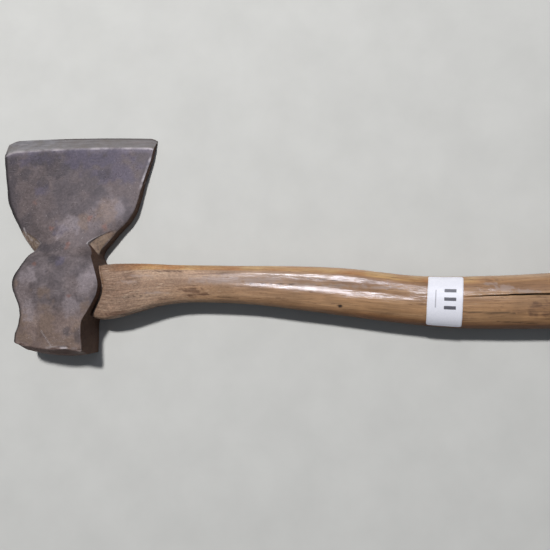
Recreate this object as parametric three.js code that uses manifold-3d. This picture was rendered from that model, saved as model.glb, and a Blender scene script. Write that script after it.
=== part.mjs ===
// A broad axe: a forged iron head with a laid steel cutting edge, wedged on a curved wooden haft,
// with a blank paper label stuck round the haft.
// Millimetres. The head lies on its flat back, which is the plane z = 0. +X runs along the haft
// from the eye to the grip end, +Y runs from the eye to the cutting edge, and +Z comes out of the
// bevelled face. The origin is the middle of the eye's lugs, on the flat back.
import * as THREE from 'three';
import { mergeVertices } from 'three/addons/utils/BufferGeometryUtils.js';
import Module from 'manifold-3d';

const wasm = await Module();
wasm.setup();

// ---- Driving dimensions ----

const GAP = 0.3; // left between two pieces that touch
const WELD = 1e-3; // vertices closer than this are one

// The head's half outlines from the poll to the cutting edge, as [y, x] corners: the poll, the
// pointed lug beside the eye, the notch under it, and the flaring blade.
const RIGHT_RIM = [
  [-61, 26.2], [-50, 26.4], [-36, 26.1], [-32, 26.8], [-24, 31.8], [-16, 36.3], [-9, 39.6],
  [-2, 41.2], [2, 41], [7, 39.6], [14, 37.2], [21, 34.1], [30, 29.4], [36, 31.6], [44, 38.4],
  [55, 47.8], [65, 57.3], [75, 63], [86, 66.3], [96, 68.4], [106, 71.1], [115, 74],
  [123, 76.3], [131, 78.3], [139, 79.6], [151.9, 82],
];
const LEFT_RIM = [
  [-61, -38.4], [-45, -37.4], [-36, -34.5], [-28, -33.7], [-19, -35.2], [-10, -39.1], [-3, -41.9],
  [2, -42.6], [7, -41.8], [12, -39.5], [18, -36.5], [24, -34.2], [30, -32.2], [37, -38.6],
  [46, -45.1], [51, -48.7], [56, -51.6], [63, -56], [70, -59.9], [76, -62.6], [82, -65],
  [90, -66.9], [100, -68.4], [112, -70.5], [125, -72.6], [139, -73.7], [151.9, -73.2],
];
// Heights over the flat back, as [y, z]: along the middle of the face, and along its rims.
const CREST = [
  [-61, 40.2], [-50, 41], [5, 41], [14, 39.6], [22, 36.6], [30, 32], [40, 27.2], [50, 23.9],
  [60, 21.2], [75, 17.8], [90, 15], [105, 12.6], [120, 10.4], [139, 8.1], [151.9, 0.7],
];
const RIM_HEIGHT = [
  [-61, 12], [24, 12], [30, 13], [50, 12.5], [65, 11.6], [85, 10.5], [105, 9.2], [120, 7.8],
  [139, 7], [151.9, 0.6],
];
const ROWS = [
  -61, -56, -50, -42, -36, -32, -24, -16, -9, -3, 2, 7, 12, 16, 20, 24, 27, 30, 33, 37, 41, 46,
  51, 56, 61, 65, 70, 75, 82, 90, 98, 106, 115, 123, 131, 139, 145.5, 151.9,
];
const NECK_Y = 41; // where the eye block's slanting walls run out into the blade
const NECK_HALF = 24; // half of the width between those walls there
const SHOULDER_Y = 56; // where the facet beside the notch runs out on the blade's rim
const NOTCH_Y = 30; // the bottom of the notch between lug and blade
const EDGE_DROP = 1; // how far the eye block's face falls towards its side edges
const CROWN_POWER = 2.2; // how the blade's crown falls from its crest to its rims
const FOOT_HEIGHT = 14.5; // a line on the eye block's side walls, level with the facets
const NECK_FOOT = 19; // the height of that line at the neck, where the facet's crease starts
const RIM_BAND = 1.6; // the width of the chamfer along the blade's rims
const TOP_BAND = 1; // the same along the eye block's upper edges
const FACE_FAN = 12; // how far the block's upper edges fan out on their way up the blade
const HEEL_Y = 139; // the line where the cutting bevel starts
const EDGE_Y = 151.9; // the cutting edge
const BEND_Y = 112; // from here to the edge the rows bend to follow it
const POLL_BEND_Y = -42; // from here to the poll's end the rows bend to follow it
const POLL_Y = -61; // the upper edge of the poll's end
const POLL_LEAN = 4; // how far that end leans out towards the flat back

// The eye that takes the haft: an oval along X, and the end of the haft just inside it.
const EYE = { y: -3, z: 20.5, halfHeight: 23, halfWidth: 11 };
const TENON_END_X = -32;
const OVAL_POWER = 2.3; // 2 is an ellipse; more fills the corners out
const OVAL_SIDES = 32;

// The steel laid on the flat back along the cutting edge, which the bevel is ground through.
const BIT = { backY: 98, scarf: 6, thickness: 3 };

// The haft's side view: where it stands, its two edges in Y, and its thickness in Z.
const HAFT = [
  { x: 22, top: 19.8, bottom: -27, depth: 23.6 },
  { x: 30, top: 20.6, bottom: -32.2, depth: 23.8 },
  { x: 38, top: 21.1, bottom: -33.6, depth: 24 },
  { x: 45, top: 21.1, bottom: -32.7, depth: 24 },
  { x: 52, top: 21.2, bottom: -30, depth: 24.2 },
  { x: 61, top: 21.4, bottom: -27.6, depth: 24.4 },
  { x: 71, top: 21.4, bottom: -24.3, depth: 24.6 },
  { x: 83, top: 20.8, bottom: -21.2, depth: 24.8 },
  { x: 95, top: 20.4, bottom: -18.3, depth: 24.9 },
  { x: 105, top: 19.9, bottom: -16.8, depth: 25 },
  { x: 117, top: 19.5, bottom: -15.7, depth: 25.1 },
  { x: 129, top: 19.2, bottom: -15.3, depth: 25.3 },
  { x: 164, top: 18.6, bottom: -16.4, depth: 26.1 },
  { x: 188, top: 18.7, bottom: -18.2, depth: 26.9 },
  { x: 207, top: 18.4, bottom: -20.9, depth: 27.5 },
  { x: 230, top: 18, bottom: -23.7, depth: 28.3 },
  { x: 254, top: 17, bottom: -26.7, depth: 29.2 },
  { x: 277, top: 15.3, bottom: -29.8, depth: 30.2 },
  { x: 300, top: 11.9, bottom: -33, depth: 31.2 },
  { x: 323, top: 8.9, bottom: -35.7, depth: 32.3 },
  { x: 339, top: 8.2, bottom: -37.5, depth: 33 },
  { x: 355, top: 7.6, bottom: -38.9, depth: 33.6 },
  { x: 371, top: 7.6, bottom: -39.8, depth: 34.2 },
  { x: 386, top: 8.2, bottom: -40.1, depth: 34.7 },
  { x: 409, top: 8.5, bottom: -40.3, depth: 35.4 },
  { x: 431, top: 9.7, bottom: -40.2, depth: 36 },
  { x: 453, top: 10.8, bottom: -39.7, depth: 36.7 },
  { x: 500, top: 14.2, bottom: -39.3, depth: 38.2 },
  { x: 540, top: 18.2, bottom: -39.6, depth: 39.4 },
];
const HAFT_MIDDLE_Z = 20.5;
const HAFT_END = { x: 562, steps: 4, radius: 11 }; // the grip's end and the rounding round it
const LUG_CLEARANCE = 0.8; // between the haft's shoulder and the lug that it is scribed to

// The wedges that spread the haft in the eye.
const WOOD_WEDGE = { depth: 40, thick: 5, thin: 1.2, proud: 0 };
const STEEL_WEDGE = { depth: 22, thick: 3.4, thin: 0.8, width: 15, proud: 0.8 };
const STEEL_WEDGE_YS = [9, -15];

// The label: where its rings stand along the haft, the oval's sides that its edges lie on, and
// the paper's thickness.
const LABEL = { x: [339, 355, 371], firstSide: 2, lastSide: 14, thickness: 0.3 };

const MATERIALS = {
  iron: { color: 0x6f676a, roughness: 0.5, metalness: 0.85 },
  edge: { color: 0x86848a, roughness: 0.4, metalness: 0.9 },
  haft: { color: 0x9a7450, roughness: 0.6, metalness: 0 },
  wedge: { color: 0xb08d62, roughness: 0.7, metalness: 0 },
  steel: { color: 0x77736f, roughness: 0.45, metalness: 0.9 },
  paper: { color: 0xe2e2e8, roughness: 0.6, metalness: 0 },
};

// ---- Small helpers ----

function lerp(a, b, t) {
  return a + (b - a) * t;
}

function ramp(a, b, value) {
  return Math.min(1, Math.max(0, (value - a) / (b - a)));
}

// The value of a [key, value] polyline at a key.
function along(line, key) {
  let i = 1;
  while (i < line.length - 1 && line[i][0] < key) i += 1;
  const [k0, v0] = line[i - 1];
  const [k1, v1] = line[i];
  return lerp(v0, v1, ramp(k0, k1, key));
}

function signedPower(value, power) {
  return Math.sign(value) * Math.abs(value) ** power;
}

// Point number side of an oval ring, as [across, up] from its middle.
function ovalPoint(side, halfAcross, halfUp) {
  const turn = (side / OVAL_SIDES) * Math.PI * 2;
  return [
    halfAcross * signedPower(Math.cos(turn), 2 / OVAL_POWER),
    halfUp * signedPower(Math.sin(turn), 2 / OVAL_POWER),
  ];
}

function geometryFrom(points, triangles) {
  const geometry = new THREE.BufferGeometry();
  geometry.setAttribute('position', new THREE.Float32BufferAttribute(points.flat(), 3));
  geometry.setIndex(triangles.flat());
  return mergeVertices(geometry, WELD);
}

// A closed skin over rings of equal length, each ring joined to the next and the ends capped.
function loft(rings) {
  const sides = rings[0].length;
  const points = rings.flat();
  const triangles = [];
  for (let r = 0; r < rings.length - 1; r += 1) {
    for (let s = 0; s < sides; s += 1) {
      const a = r * sides + s;
      const b = r * sides + ((s + 1) % sides);
      triangles.push([a, b, b + sides], [a, b + sides, a + sides]);
    }
  }
  const last = (rings.length - 1) * sides;
  for (let s = 1; s < sides - 1; s += 1) {
    triangles.push([0, s + 1, s], [last, last + s, last + s + 1]);
  }
  return geometryFrom(points, triangles);
}

// An outline of [x, y] points as an upright prism from z = low to z = high.
function prism(outline, low, high) {
  const shape = new THREE.Shape(outline.map(([x, y]) => new THREE.Vector2(x, y)));
  const geometry = new THREE.ExtrudeGeometry(shape, { depth: high - low, bevelEnabled: false });
  return geometry.translate(0, 0, low);
}

function solid(geometry) {
  const bare = new THREE.BufferGeometry();
  bare.setAttribute('position', geometry.getAttribute('position'));
  if (geometry.index) bare.setIndex(geometry.index);
  const merged = mergeVertices(bare, WELD);
  return new wasm.Manifold(new wasm.Mesh({
    numProp: 3,
    vertProperties: new Float32Array(merged.getAttribute('position').array),
    triVerts: new Uint32Array(merged.index.array),
  }));
}

function geometryOf(body) {
  const mesh = body.getMesh();
  const geometry = new THREE.BufferGeometry();
  geometry.setAttribute('position', new THREE.BufferAttribute(mesh.vertProperties, 3));
  geometry.setIndex(new THREE.BufferAttribute(mesh.triVerts, 1));
  return geometry;
}

function node(name, geometry, finish) {
  const flat = geometry.toNonIndexed();
  flat.computeVertexNormals();
  const mesh = new THREE.Mesh(flat, new THREE.MeshStandardMaterial(MATERIALS[finish]));
  mesh.name = name;
  return mesh;
}

// ---- The head ----

// How far the cutting edge bows back at x: a gentle arc, a rounded toe and a sharp heel.
function edgeBow(x) {
  const arc = 1.7 * ((x - 5) / 77) ** 2;
  const toe = 3.4 * ramp(-60, -72.4, x) ** 2;
  const heel = 2.4 * ramp(74, 82, x) ** 2;
  return arc + toe + heel;
}

// How far the poll's end stands in from its corner at x, because it slants to the left.
function pollSlant(x) {
  const left = ramp(26, -38, x);
  return 3.2 * left + 5.6 * left ** 4;
}

// The real y of a point on row y, where the rows bend near both ends of the head.
function bentY(row, x) {
  if (row > BEND_Y) return row - edgeBow(x) * ramp(BEND_Y, HEEL_Y, row);
  if (row < POLL_BEND_Y) return row + pollSlant(x) * ramp(POLL_BEND_Y, POLL_Y, row);
  return row;
}

// How far the poll's end leans out of its upper edge at a height over the flat back.
function pollLean(row, z) {
  return POLL_LEAN * ramp(-50, POLL_Y, row) * ramp(38, 20, z);
}

// The height of the face between the rims: nearly flat over the eye, then crowned over the blade.
function faceHeight(row, x) {
  const left = along(LEFT_RIM, row);
  const right = along(RIGHT_RIM, row);
  const off = Math.min(1, Math.abs((2 * x - left - right) / (right - left)));
  const crest = along(CREST, row);
  const block = crest - EDGE_DROP * off ** 3;
  const blade = lerp(crest, along(RIM_HEIGHT, row), off ** CROWN_POWER);
  return lerp(block, blade, ramp(NOTCH_Y, NECK_Y, row));
}

// Where one side's foot line stands on row y: on the lug's wall, along the slanting neck, along
// the facet's crease, and then just inside the blade's rim.
function footLine(row, rim, side) {
  if (row <= NOTCH_Y) return { x: rim, z: FOOT_HEIGHT };
  if (row <= NECK_Y) {
    const t = ramp(NOTCH_Y, NECK_Y, row);
    const notch = along(side > 0 ? RIGHT_RIM : LEFT_RIM, NOTCH_Y);
    return { x: lerp(notch, side * NECK_HALF, t), z: lerp(FOOT_HEIGHT, NECK_FOOT, t) };
  }
  const t = ramp(NECK_Y, SHOULDER_Y, row);
  const x = lerp(side * NECK_HALF, rim - side * RIM_BAND, t);
  const step = faceHeight(NECK_Y, side * NECK_HALF) - NECK_FOOT;
  return { x, z: faceHeight(row, x) - step * (1 - t) };
}

// Where one side's top line stands: the eye block's edge, then a line fanning up the blade.
function topLine(row, rim, side) {
  if (row <= NOTCH_Y) {
    const x = rim - side * TOP_BAND;
    return { x, z: faceHeight(row, x) };
  }
  if (row <= NECK_Y) {
    const t = ramp(NOTCH_Y, NECK_Y, row);
    const notch = along(side > 0 ? RIGHT_RIM : LEFT_RIM, NOTCH_Y);
    const x = lerp(notch, side * NECK_HALF, t) - side * TOP_BAND;
    return { x, z: faceHeight(row, x) };
  }
  const x = side * (NECK_HALF - TOP_BAND + FACE_FAN * ramp(NECK_Y, EDGE_Y, row));
  return { x, z: faceHeight(row, x) };
}

// The points of the face on one row, from the left rim to the right rim.
function faceRow(row) {
  const rims = { left: along(LEFT_RIM, row), right: along(RIGHT_RIM, row) };
  const rimZ = along(RIM_HEIGHT, row);
  const foot = { left: footLine(row, rims.left, -1), right: footLine(row, rims.right, 1) };
  const top = { left: topLine(row, rims.left, -1), right: topLine(row, rims.right, 1) };
  const line = [{ x: rims.left, z: rimZ }, foot.left];
  const between = (a, b, t) => {
    const x = lerp(a.x, b.x, t);
    return { x, z: row < NECK_Y ? lerp(a.z, b.z, t) : faceHeight(row, x) };
  };
  line.push(between(foot.left, top.left, 0.5), top.left);
  for (let i = 1; i < 8; i += 1) {
    const x = lerp(top.left.x, top.right.x, i / 8);
    line.push({ x, z: faceHeight(row, x) });
  }
  line.push(top.right, between(foot.right, top.right, 0.5), foot.right, { x: rims.right, z: rimZ });
  return line.map(({ x, z }) => [x, bentY(row, x) - pollLean(row, z), z]);
}

// The flat back on one row, with as many points as the face has.
function backRow(row, count) {
  const left = along(LEFT_RIM, row);
  const right = along(RIGHT_RIM, row);
  return Array.from({ length: count }, (_, i) => {
    const x = lerp(left, right, i / (count - 1));
    return [x, bentY(row, x) - pollLean(row, 0), 0];
  });
}

// The whole head as one closed skin, before the eye and the laid steel are cut.
function headBlank() {
  const rings = ROWS.map((row) => {
    const face = faceRow(row);
    return [...face, ...backRow(row, face.length).reverse()];
  });
  const sides = rings[0].length;
  const half = sides / 2;
  const points = rings.flat();
  const triangles = [];
  for (let r = 0; r < rings.length - 1; r += 1) {
    for (let s = 0; s < sides; s += 1) {
      const a = r * sides + s;
      const b = r * sides + ((s + 1) % sides);
      triangles.push([a, b + sides, a + sides], [a, b, b + sides]);
    }
  }
  const last = (rings.length - 1) * sides;
  for (let s = 0; s < half - 1; s += 1) {
    const across = sides - 1 - s;
    triangles.push([s, across - 1, s + 1], [s, across, across - 1]);
    triangles.push([last + s, last + s + 1, last + across - 1]);
    triangles.push([last + s, last + across - 1, last + across]);
  }
  return solid(geometryFrom(points, triangles));
}

// The eye, right through the head along X, or the tenon inside it when it is shrunk.
function eyeCore(fromX, toX, shrink) {
  const ring = (x) => Array.from({ length: OVAL_SIDES }, (_, side) => {
    const [y, z] = ovalPoint(side, EYE.halfHeight - shrink, EYE.halfWidth - shrink);
    return [x, EYE.y + y, EYE.z + z];
  });
  return loft([ring(fromX), ring(toX)]);
}

// The space that the laid steel takes at the cutting edge: a plate with a scarfed back end.
function bitSpace(grow) {
  const top = BIT.thickness + grow;
  const back = BIT.backY - grow;
  const section = [[back, -2], [back, 0.6], [back + BIT.scarf, top], [EDGE_Y + 5, top], [EDGE_Y + 5, -2]];
  const ring = (x) => section.map(([y, z]) => [x, y, z]);
  return loft([ring(100), ring(-100)]);
}

// ---- The haft ----

function haftSection(x) {
  let i = 1;
  while (i < HAFT.length - 1 && HAFT[i].x < x) i += 1;
  const [a, b] = [HAFT[i - 1], HAFT[i]];
  const t = ramp(a.x, b.x, x);
  return {
    middle: (lerp(a.top, b.top, t) + lerp(a.bottom, b.bottom, t)) / 2,
    halfHeight: (lerp(a.top, b.top, t) - lerp(a.bottom, b.bottom, t)) / 2,
    halfDepth: lerp(a.depth, b.depth, t) / 2,
  };
}

// The outside of the haft at x, moved in by shrink or out by a negative shrink.
function haftRing(x, shrink) {
  const { middle, halfHeight, halfDepth } = haftSection(x);
  return Array.from({ length: OVAL_SIDES }, (_, side) => {
    const [y, z] = ovalPoint(side, halfHeight - shrink, halfDepth - shrink);
    return [x, middle + y, HAFT_MIDDLE_Z + z];
  });
}

function haftBody() {
  const rings = HAFT.map(({ x }) => haftRing(x, 0));
  for (let i = 0; i <= HAFT_END.steps; i += 1) {
    const turn = (i / HAFT_END.steps) * (Math.PI / 2);
    const x = HAFT_END.x - HAFT_END.radius * (1 - Math.sin(turn));
    rings.push(haftRing(x, HAFT_END.radius * (1 - Math.cos(turn))));
  }
  return solid(loft(rings));
}

// Everything on the head's side of the lugs, which the haft's shoulder is scribed to.
function shoulderCut() {
  const scribe = RIGHT_RIM.filter(([y]) => y > -50 && y < 32).map(([y, x]) => [x + LUG_CLEARANCE, y]);
  return solid(prism([[-60, -50], [26, -50], ...scribe, [30, 50], [-60, 50]], -10, 60));
}

// A wedge driven in from the haft's end: thick and thin are its two thicknesses in Z, or in Y
// when it is driven across, and grow makes the slot that takes it.
function wedgeShape(size, acrossWidth, isCross, grow) {
  const outer = size.thick / 2 + grow;
  const inner = size.thin / 2 + grow;
  const half = acrossWidth / 2 + grow;
  const start = TENON_END_X - size.proud - (grow ? 5 : 0);
  const end = TENON_END_X + size.depth + grow;
  const ring = (x, thick) => [[-half, -thick], [half, -thick], [half, thick], [-half, thick]]
    .map(([wide, thin]) => (isCross ? [x, thin, -wide] : [x, wide, thin]));
  return loft([ring(start, outer), ring(end, inner)]);
}

function woodWedge(grow) {
  const width = grow ? EYE.halfHeight * 3 : EYE.halfHeight * 2;
  return wedgeShape(WOOD_WEDGE, width, false, grow).translate(0, EYE.y, EYE.z);
}

function steelWedge(y, grow) {
  return wedgeShape(STEEL_WEDGE, STEEL_WEDGE.width, true, grow).translate(0, y, EYE.z);
}

// ---- The label ----

// A strip of paper round the front of the haft, between two of the oval's sides.
function labelShell() {
  const rings = LABEL.x.map((x) => {
    const inner = haftRing(x, -GAP).slice(LABEL.firstSide, LABEL.lastSide + 1);
    const outer = haftRing(x, -GAP - LABEL.thickness).slice(LABEL.firstSide, LABEL.lastSide + 1);
    return [...inner.reverse(), ...outer];
  });
  return loftStrip(rings);
}

// Like loft, but the end caps are strips, because the rings are thin and bent.
function loftStrip(rings) {
  const sides = rings[0].length;
  const triangles = [];
  for (let r = 0; r < rings.length - 1; r += 1) {
    for (let s = 0; s < sides; s += 1) {
      const a = r * sides + s;
      const b = r * sides + ((s + 1) % sides);
      triangles.push([a, b, b + sides], [a, b + sides, a + sides]);
    }
  }
  const last = (rings.length - 1) * sides;
  for (let s = 0; s < sides / 2 - 1; s += 1) {
    const across = sides - 1 - s;
    triangles.push([s, across, across - 1], [s, across - 1, s + 1]);
    triangles.push([last + s, last + across - 1, last + across], [last + s, last + s + 1, last + across - 1]);
  }
  return geometryFrom(rings.flat(), triangles);
}

// ---- The assembly ----

const eye = solid(eyeCore(-60, 60, 0));
const blank = headBlank().subtract(eye);
const headBody = blank.subtract(solid(bitSpace(GAP)));
const steelBit = blank.intersect(solid(bitSpace(0)));

const tenon = solid(eyeCore(TENON_END_X, 50, GAP));
const steelSlots = STEEL_WEDGE_YS.map((y) => solid(steelWedge(y, GAP)));
const haft = [solid(woodWedge(GAP)), ...steelSlots]
  .reduce((body, slot) => body.subtract(slot), haftBody().subtract(shoulderCut()).add(tenon));
const tenonRoom = solid(eyeCore(TENON_END_X - 20, 60, GAP));
const woodenWedge = steelSlots
  .reduce((body, slot) => body.subtract(slot), solid(woodWedge(0)).intersect(tenonRoom));

const axe = new THREE.Group();
axe.add(node('head_body', geometryOf(headBody), 'iron'));
axe.add(node('steel_bit', geometryOf(steelBit), 'edge'));
axe.add(node('haft', geometryOf(haft), 'haft'));
axe.add(node('wooden_wedge', geometryOf(woodenWedge), 'wedge'));
STEEL_WEDGE_YS.forEach((y, i) => {
  axe.add(node(`steel_wedge_${i + 1}`, steelWedge(y, 0), 'steel'));
});
axe.add(node('paper_label', labelShell(), 'paper'));

export default axe;
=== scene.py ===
"""A broad axe lying on the flat back of its head: a forged iron head with laid cutting steel, on a
curved wooden haft that is held by wedges in the eye, with a paper label round the haft.

The shapes are worked out in millimetres, in the frame of the CAD model: +X along the haft, +Y to
the cutting edge, +Z out of the bevelled face, and the origin on the flat back under the eye.
"""

import math

import bpy
import numpy as np
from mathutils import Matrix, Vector


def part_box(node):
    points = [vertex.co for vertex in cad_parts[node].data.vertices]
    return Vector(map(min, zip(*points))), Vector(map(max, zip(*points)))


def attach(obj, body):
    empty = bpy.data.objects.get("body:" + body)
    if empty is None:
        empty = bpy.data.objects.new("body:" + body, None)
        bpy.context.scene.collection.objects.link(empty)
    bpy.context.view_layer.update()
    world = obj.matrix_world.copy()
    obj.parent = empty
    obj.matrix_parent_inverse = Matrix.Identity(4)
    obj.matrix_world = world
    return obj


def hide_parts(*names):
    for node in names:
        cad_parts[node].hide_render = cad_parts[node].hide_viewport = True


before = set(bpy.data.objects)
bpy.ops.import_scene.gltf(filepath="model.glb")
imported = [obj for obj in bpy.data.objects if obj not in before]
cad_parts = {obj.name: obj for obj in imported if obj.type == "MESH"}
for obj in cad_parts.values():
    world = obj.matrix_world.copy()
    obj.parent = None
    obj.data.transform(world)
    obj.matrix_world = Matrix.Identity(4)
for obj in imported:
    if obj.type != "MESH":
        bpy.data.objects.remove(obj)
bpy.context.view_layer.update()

MM = 0.001
BODY = "root"


# ---- Driving dimensions, in millimetres ----


def cad_mm(node):
    """The lowest and highest corners of a CAD node, in millimetres."""
    low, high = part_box(node)
    return np.array(low) / MM, np.array(high) / MM


LABEL_LOW, LABEL_HIGH = cad_mm("paper_label")

# The head's half outlines from the poll to the cutting edge, as (y, x) corners.
RIGHT_RIM = [
    (-61, 26.2), (-50, 26.4), (-36, 26.1), (-32, 26.8), (-24, 31.8), (-16, 36.3), (-9, 39.6),
    (-2, 41.2), (2, 41), (7, 39.6), (14, 37.2), (21, 34.1), (30, 29.4), (36, 31.6), (44, 38.4),
    (55, 47.8), (65, 57.3), (75, 63), (86, 66.3), (96, 68.4), (106, 71.1), (115, 74),
    (123, 76.3), (131, 78.3), (139, 79.6), (151.9, 82),
]
LEFT_RIM = [
    (-61, -38.4), (-45, -37.4), (-36, -34.5), (-28, -33.7), (-19, -35.2), (-10, -39.1),
    (-3, -41.9), (2, -42.6), (7, -41.8), (12, -39.5), (18, -36.5), (24, -34.2), (30, -32.2),
    (37, -38.6), (46, -45.1), (51, -48.7), (56, -51.6), (63, -56), (70, -59.9), (76, -62.6),
    (82, -65), (90, -66.9), (100, -68.4), (112, -70.5), (125, -72.6), (139, -73.7), (151.9, -73.2),
]
# Heights over the flat back, as (y, z): along the middle of the face, and along its rims.
CREST = [
    (-61, 40.2), (-50, 41), (5, 41), (14, 39.6), (22, 36.6), (30, 32), (40, 27.2), (50, 23.9),
    (60, 21.2), (75, 17.8), (90, 15), (105, 12.6), (120, 10.4), (139, 8.1),
]
RIM_HEIGHT = [
    (-61, 12), (24, 12), (30, 13), (50, 12.5), (65, 11.6), (85, 10.5), (105, 9.2), (120, 7.8),
    (139, 7),
]
# Widths of the chamfer hammered along each blade rim, as (y, width).
LEFT_CHAMFER = [(41, 1.5), (50, 3), (60, 4), (72, 3.2), (90, 2), (139, 1.4)]
RIGHT_CHAMFER = [(41, 1.2), (60, 1.4), (139, 0.8)]

# How far the poll's end stands in from its corner, at its battered upper edge and lower down,
# as (x, distance): it slants to the left and is beaten into a bulge below the edge.
POLL_TOP = [
    (-38, 9.4), (-35, 7.6), (-26, 5.6), (-15, 4.1), (-9, 2.7), (0, 3), (8, 3.2), (12, 3.5),
    (17, 1.9), (26, 0.9),
]
POLL_END = [
    (-38, 3.4), (-33, 0.6), (-27, -0.8), (-13, -2.9), (-3, -4.1), (7, -4.6), (16, -4), (27, -3.2),
]

POLL_Y, NOTCH_Y, NECK_Y, SHOULDER_Y, HEEL_Y, EDGE_Y = -61, 30, 41, 56, 139, 151.9
BEND_Y, POLL_BEND_Y = 112, -42
NECK_LEFT, NECK_RIGHT = -25, 22.4
FOOT_HEIGHT, NECK_FOOT = 14.5, 19
TOP_BAND, FACE_FAN = 1, 12
EDGE_DROP, CROWN_POWER = 1, 2.2
EDGE_THICKNESS = 0.5
HEAD_TOP = 41
LEFT_ROUNDING = 2.4  # of the eye block's left edge, which is worn round
POLL_BULGE = 0.6
HEEL_TILT = 0.014  # the bevel is ground wider towards the left corner

EYE_Y, EYE_Z = -3, 20.5
EYE_HALF_HEIGHT, EYE_HALF_WIDTH = 23, 11
EYE_REACH = 60  # half the length of what cuts the eye, which stands out of the head on both sides
EYE_TURNS = np.arange(96) / 96 * 2 * math.pi
TENON_END_X = -32
TENON_GAP = 0.12
OVAL_POWER = 2.3
BIT_BACK_Y, BIT_SCARF, BIT_THICKNESS = 98, 6, 3

# The haft's side view, as (x, top edge, bottom edge, thickness).
HAFT = [
    (42, 20.4, -31.2, 23.6), (44.5, 21, -33.8, 23.8), (48, 21.1, -34.8, 24), (52, 21.1, -34.6, 24),
    (56, 21.2, -33.4, 24.2), (61, 21.3, -30.8, 24.4), (66.5, 21.4, -27.7, 24.6),
    (74, 21.3, -24.2, 24.7), (84, 20.8, -21, 24.8), (95, 20.4, -18.3, 24.9), (105, 19.9, -16.8, 25),
    (117, 19.5, -15.7, 25.1), (129, 19.2, -15.3, 25.3), (164, 18.6, -16.4, 26.1),
    (188, 18.7, -18.2, 26.9), (207, 18.4, -20.9, 27.5), (230, 18, -23.7, 28.3),
    (254, 17, -26.7, 29.2), (277, 15.3, -29.8, 30.2), (300, 11.9, -33, 31.2),
    (323, 8.9, -35.7, 32.3), (339, 8.2, -37.5, 33), (355, 7.6, -38.9, 33.6),
    (371, 7.6, -39.8, 34.2), (386, 8.2, -40.1, 34.7), (409, 8.5, -40.3, 35.4),
    (431, 9.7, -40.2, 36), (453, 10.8, -39.7, 36.7), (500, 14.2, -39.3, 38.2),
    (540, 18.2, -39.6, 39.4), (562, 20.4, -40, 39.4),
]
HAFT_MIDDLE_Z = 20.5
GRIP_END_X = HAFT[-1][0]
HAFT_ROUNDING = 11
LUG_CLEARANCE = 0.8
SHOULDER_FADE = (42, 86)  # where along the haft the scribed shoulder's slant dies out
BLOCKY_FADE = (110, 60)  # where along the haft its lower half turns from round to blocky
BLOCKY_POWER = 4.2

WOOD_WEDGE = {"depth": 40, "thick": 5, "thin": 1.2}
STEEL_WEDGE = {"depth": 22, "thick": 3.4, "thin": 0.8, "width": 15, "proud": 0.8}
STEEL_WEDGE_YS = (9, -15)
JOINT_GAP = 0.06  # the play round each piece that is let into another
ROOM_GAP = 0.3  # the play between the wooden wedge and the wall of the eye
FRONT_Z = 15  # marks on the front of the haft go no lower than this

# The camera: its place over the axe, and its turn away from straight down in degrees.
CAMERA_PLACE = (225.46, -22.92, 480)
CAMERA_TURN = (4.0856, 2.9133, 0)
CAMERA_FOCAL = 490 / 550  # the focal length over the picture's width

KEY_DIRECTION = (-0.21, 0.464, 1)
GLEAM_DIRECTION = (0.06, 0.45, 0.97)  # a strip of light that only gloss picks up
KEY_SIZE, GLEAM_SIZE = (0.2, 0.2), (1.0, 0.16)
KEY_POWER, GLEAM_POWER, SKY_STRENGTH = 56, 48, 0.13
KEY_COLOUR, GLEAM_COLOUR, SKY_COLOUR = (1.0, 0.98, 0.95), (0.94, 0.96, 1.08), (0.86, 0.92, 1.0, 1)
LAMP_DISTANCE = 2.4
LAMP_AIM = (0.18, 0.03, 0)
FLOOR_Z, FLOOR_HALF = -0.15, 4000


# ---- Numbers: lines, noise and meshes ----


def ramp(low, high, value):
    """0 at low and 1 at high, in a straight line between them."""
    return np.clip((value - low) / (high - low), 0, 1)


def smooth_ramp(low, high, value):
    """0 at low and 1 at high, without a corner at either."""
    t = ramp(low, high, value)
    return t * t * (3 - 2 * t)


def lerp(a, b, t):
    return a + (b - a) * t


def signed_power(value, power):
    """A power of the size of value, with the sign of value."""
    return np.sign(value) * np.abs(value) ** power


def superellipse(turn, half_across, half_up, power=OVAL_POWER):
    """The points of a slightly square oval at the angles turn."""
    across = half_across * signed_power(np.cos(turn), 2 / power)
    up = half_up * signed_power(np.sin(turn), 2 / power)
    return across, up


def blur(values, sigma):
    """A row of numbers smoothed over sigma steps, running straight on at both ends."""
    reach = int(math.ceil(3 * sigma))
    kernel = np.exp(-0.5 * (np.arange(-reach, reach + 1) / sigma) ** 2)
    start = values[0] + (values[1] - values[0]) * np.arange(-reach, 0)
    end = values[-1] + (values[-1] - values[-2]) * np.arange(1, reach + 1)
    return np.convolve(np.concatenate([start, values, end]), kernel / kernel.sum(), "valid")


class Line:
    """A polyline of (key, value) corners, rounded over a soft distance and running straight on
    past its last corner."""

    STEP = 0.5

    def __init__(self, corners, soft):
        keys, values = np.array(corners, float).T
        self.keys = np.arange(keys[0], keys[-1] + self.STEP / 2, self.STEP)
        self.values = blur(np.interp(self.keys, keys, values), soft / self.STEP)

    def __call__(self, key):
        slope = (self.values[-1] - self.values[-2]) / self.STEP
        beyond = np.maximum(np.asarray(key, float) - self.keys[-1], 0)
        return np.interp(key, self.keys, self.values) + beyond * slope


def lattice(ix, iy, iz, seed):
    """A repeatable random number in -1..1 for each point of a whole-number lattice."""
    h = (ix * 374761393 + iy * 668265263 + iz * 1442695041 + seed * 1274126177) & 0xFFFFFFFF
    h = ((h ^ (h >> 13)) * 1274126177) & 0xFFFFFFFF
    h = ((h ^ (h >> 15)) * 2246822519) & 0xFFFFFFFF
    return ((h ^ (h >> 16)) & 0xFFFF) / 32767.5 - 1


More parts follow.
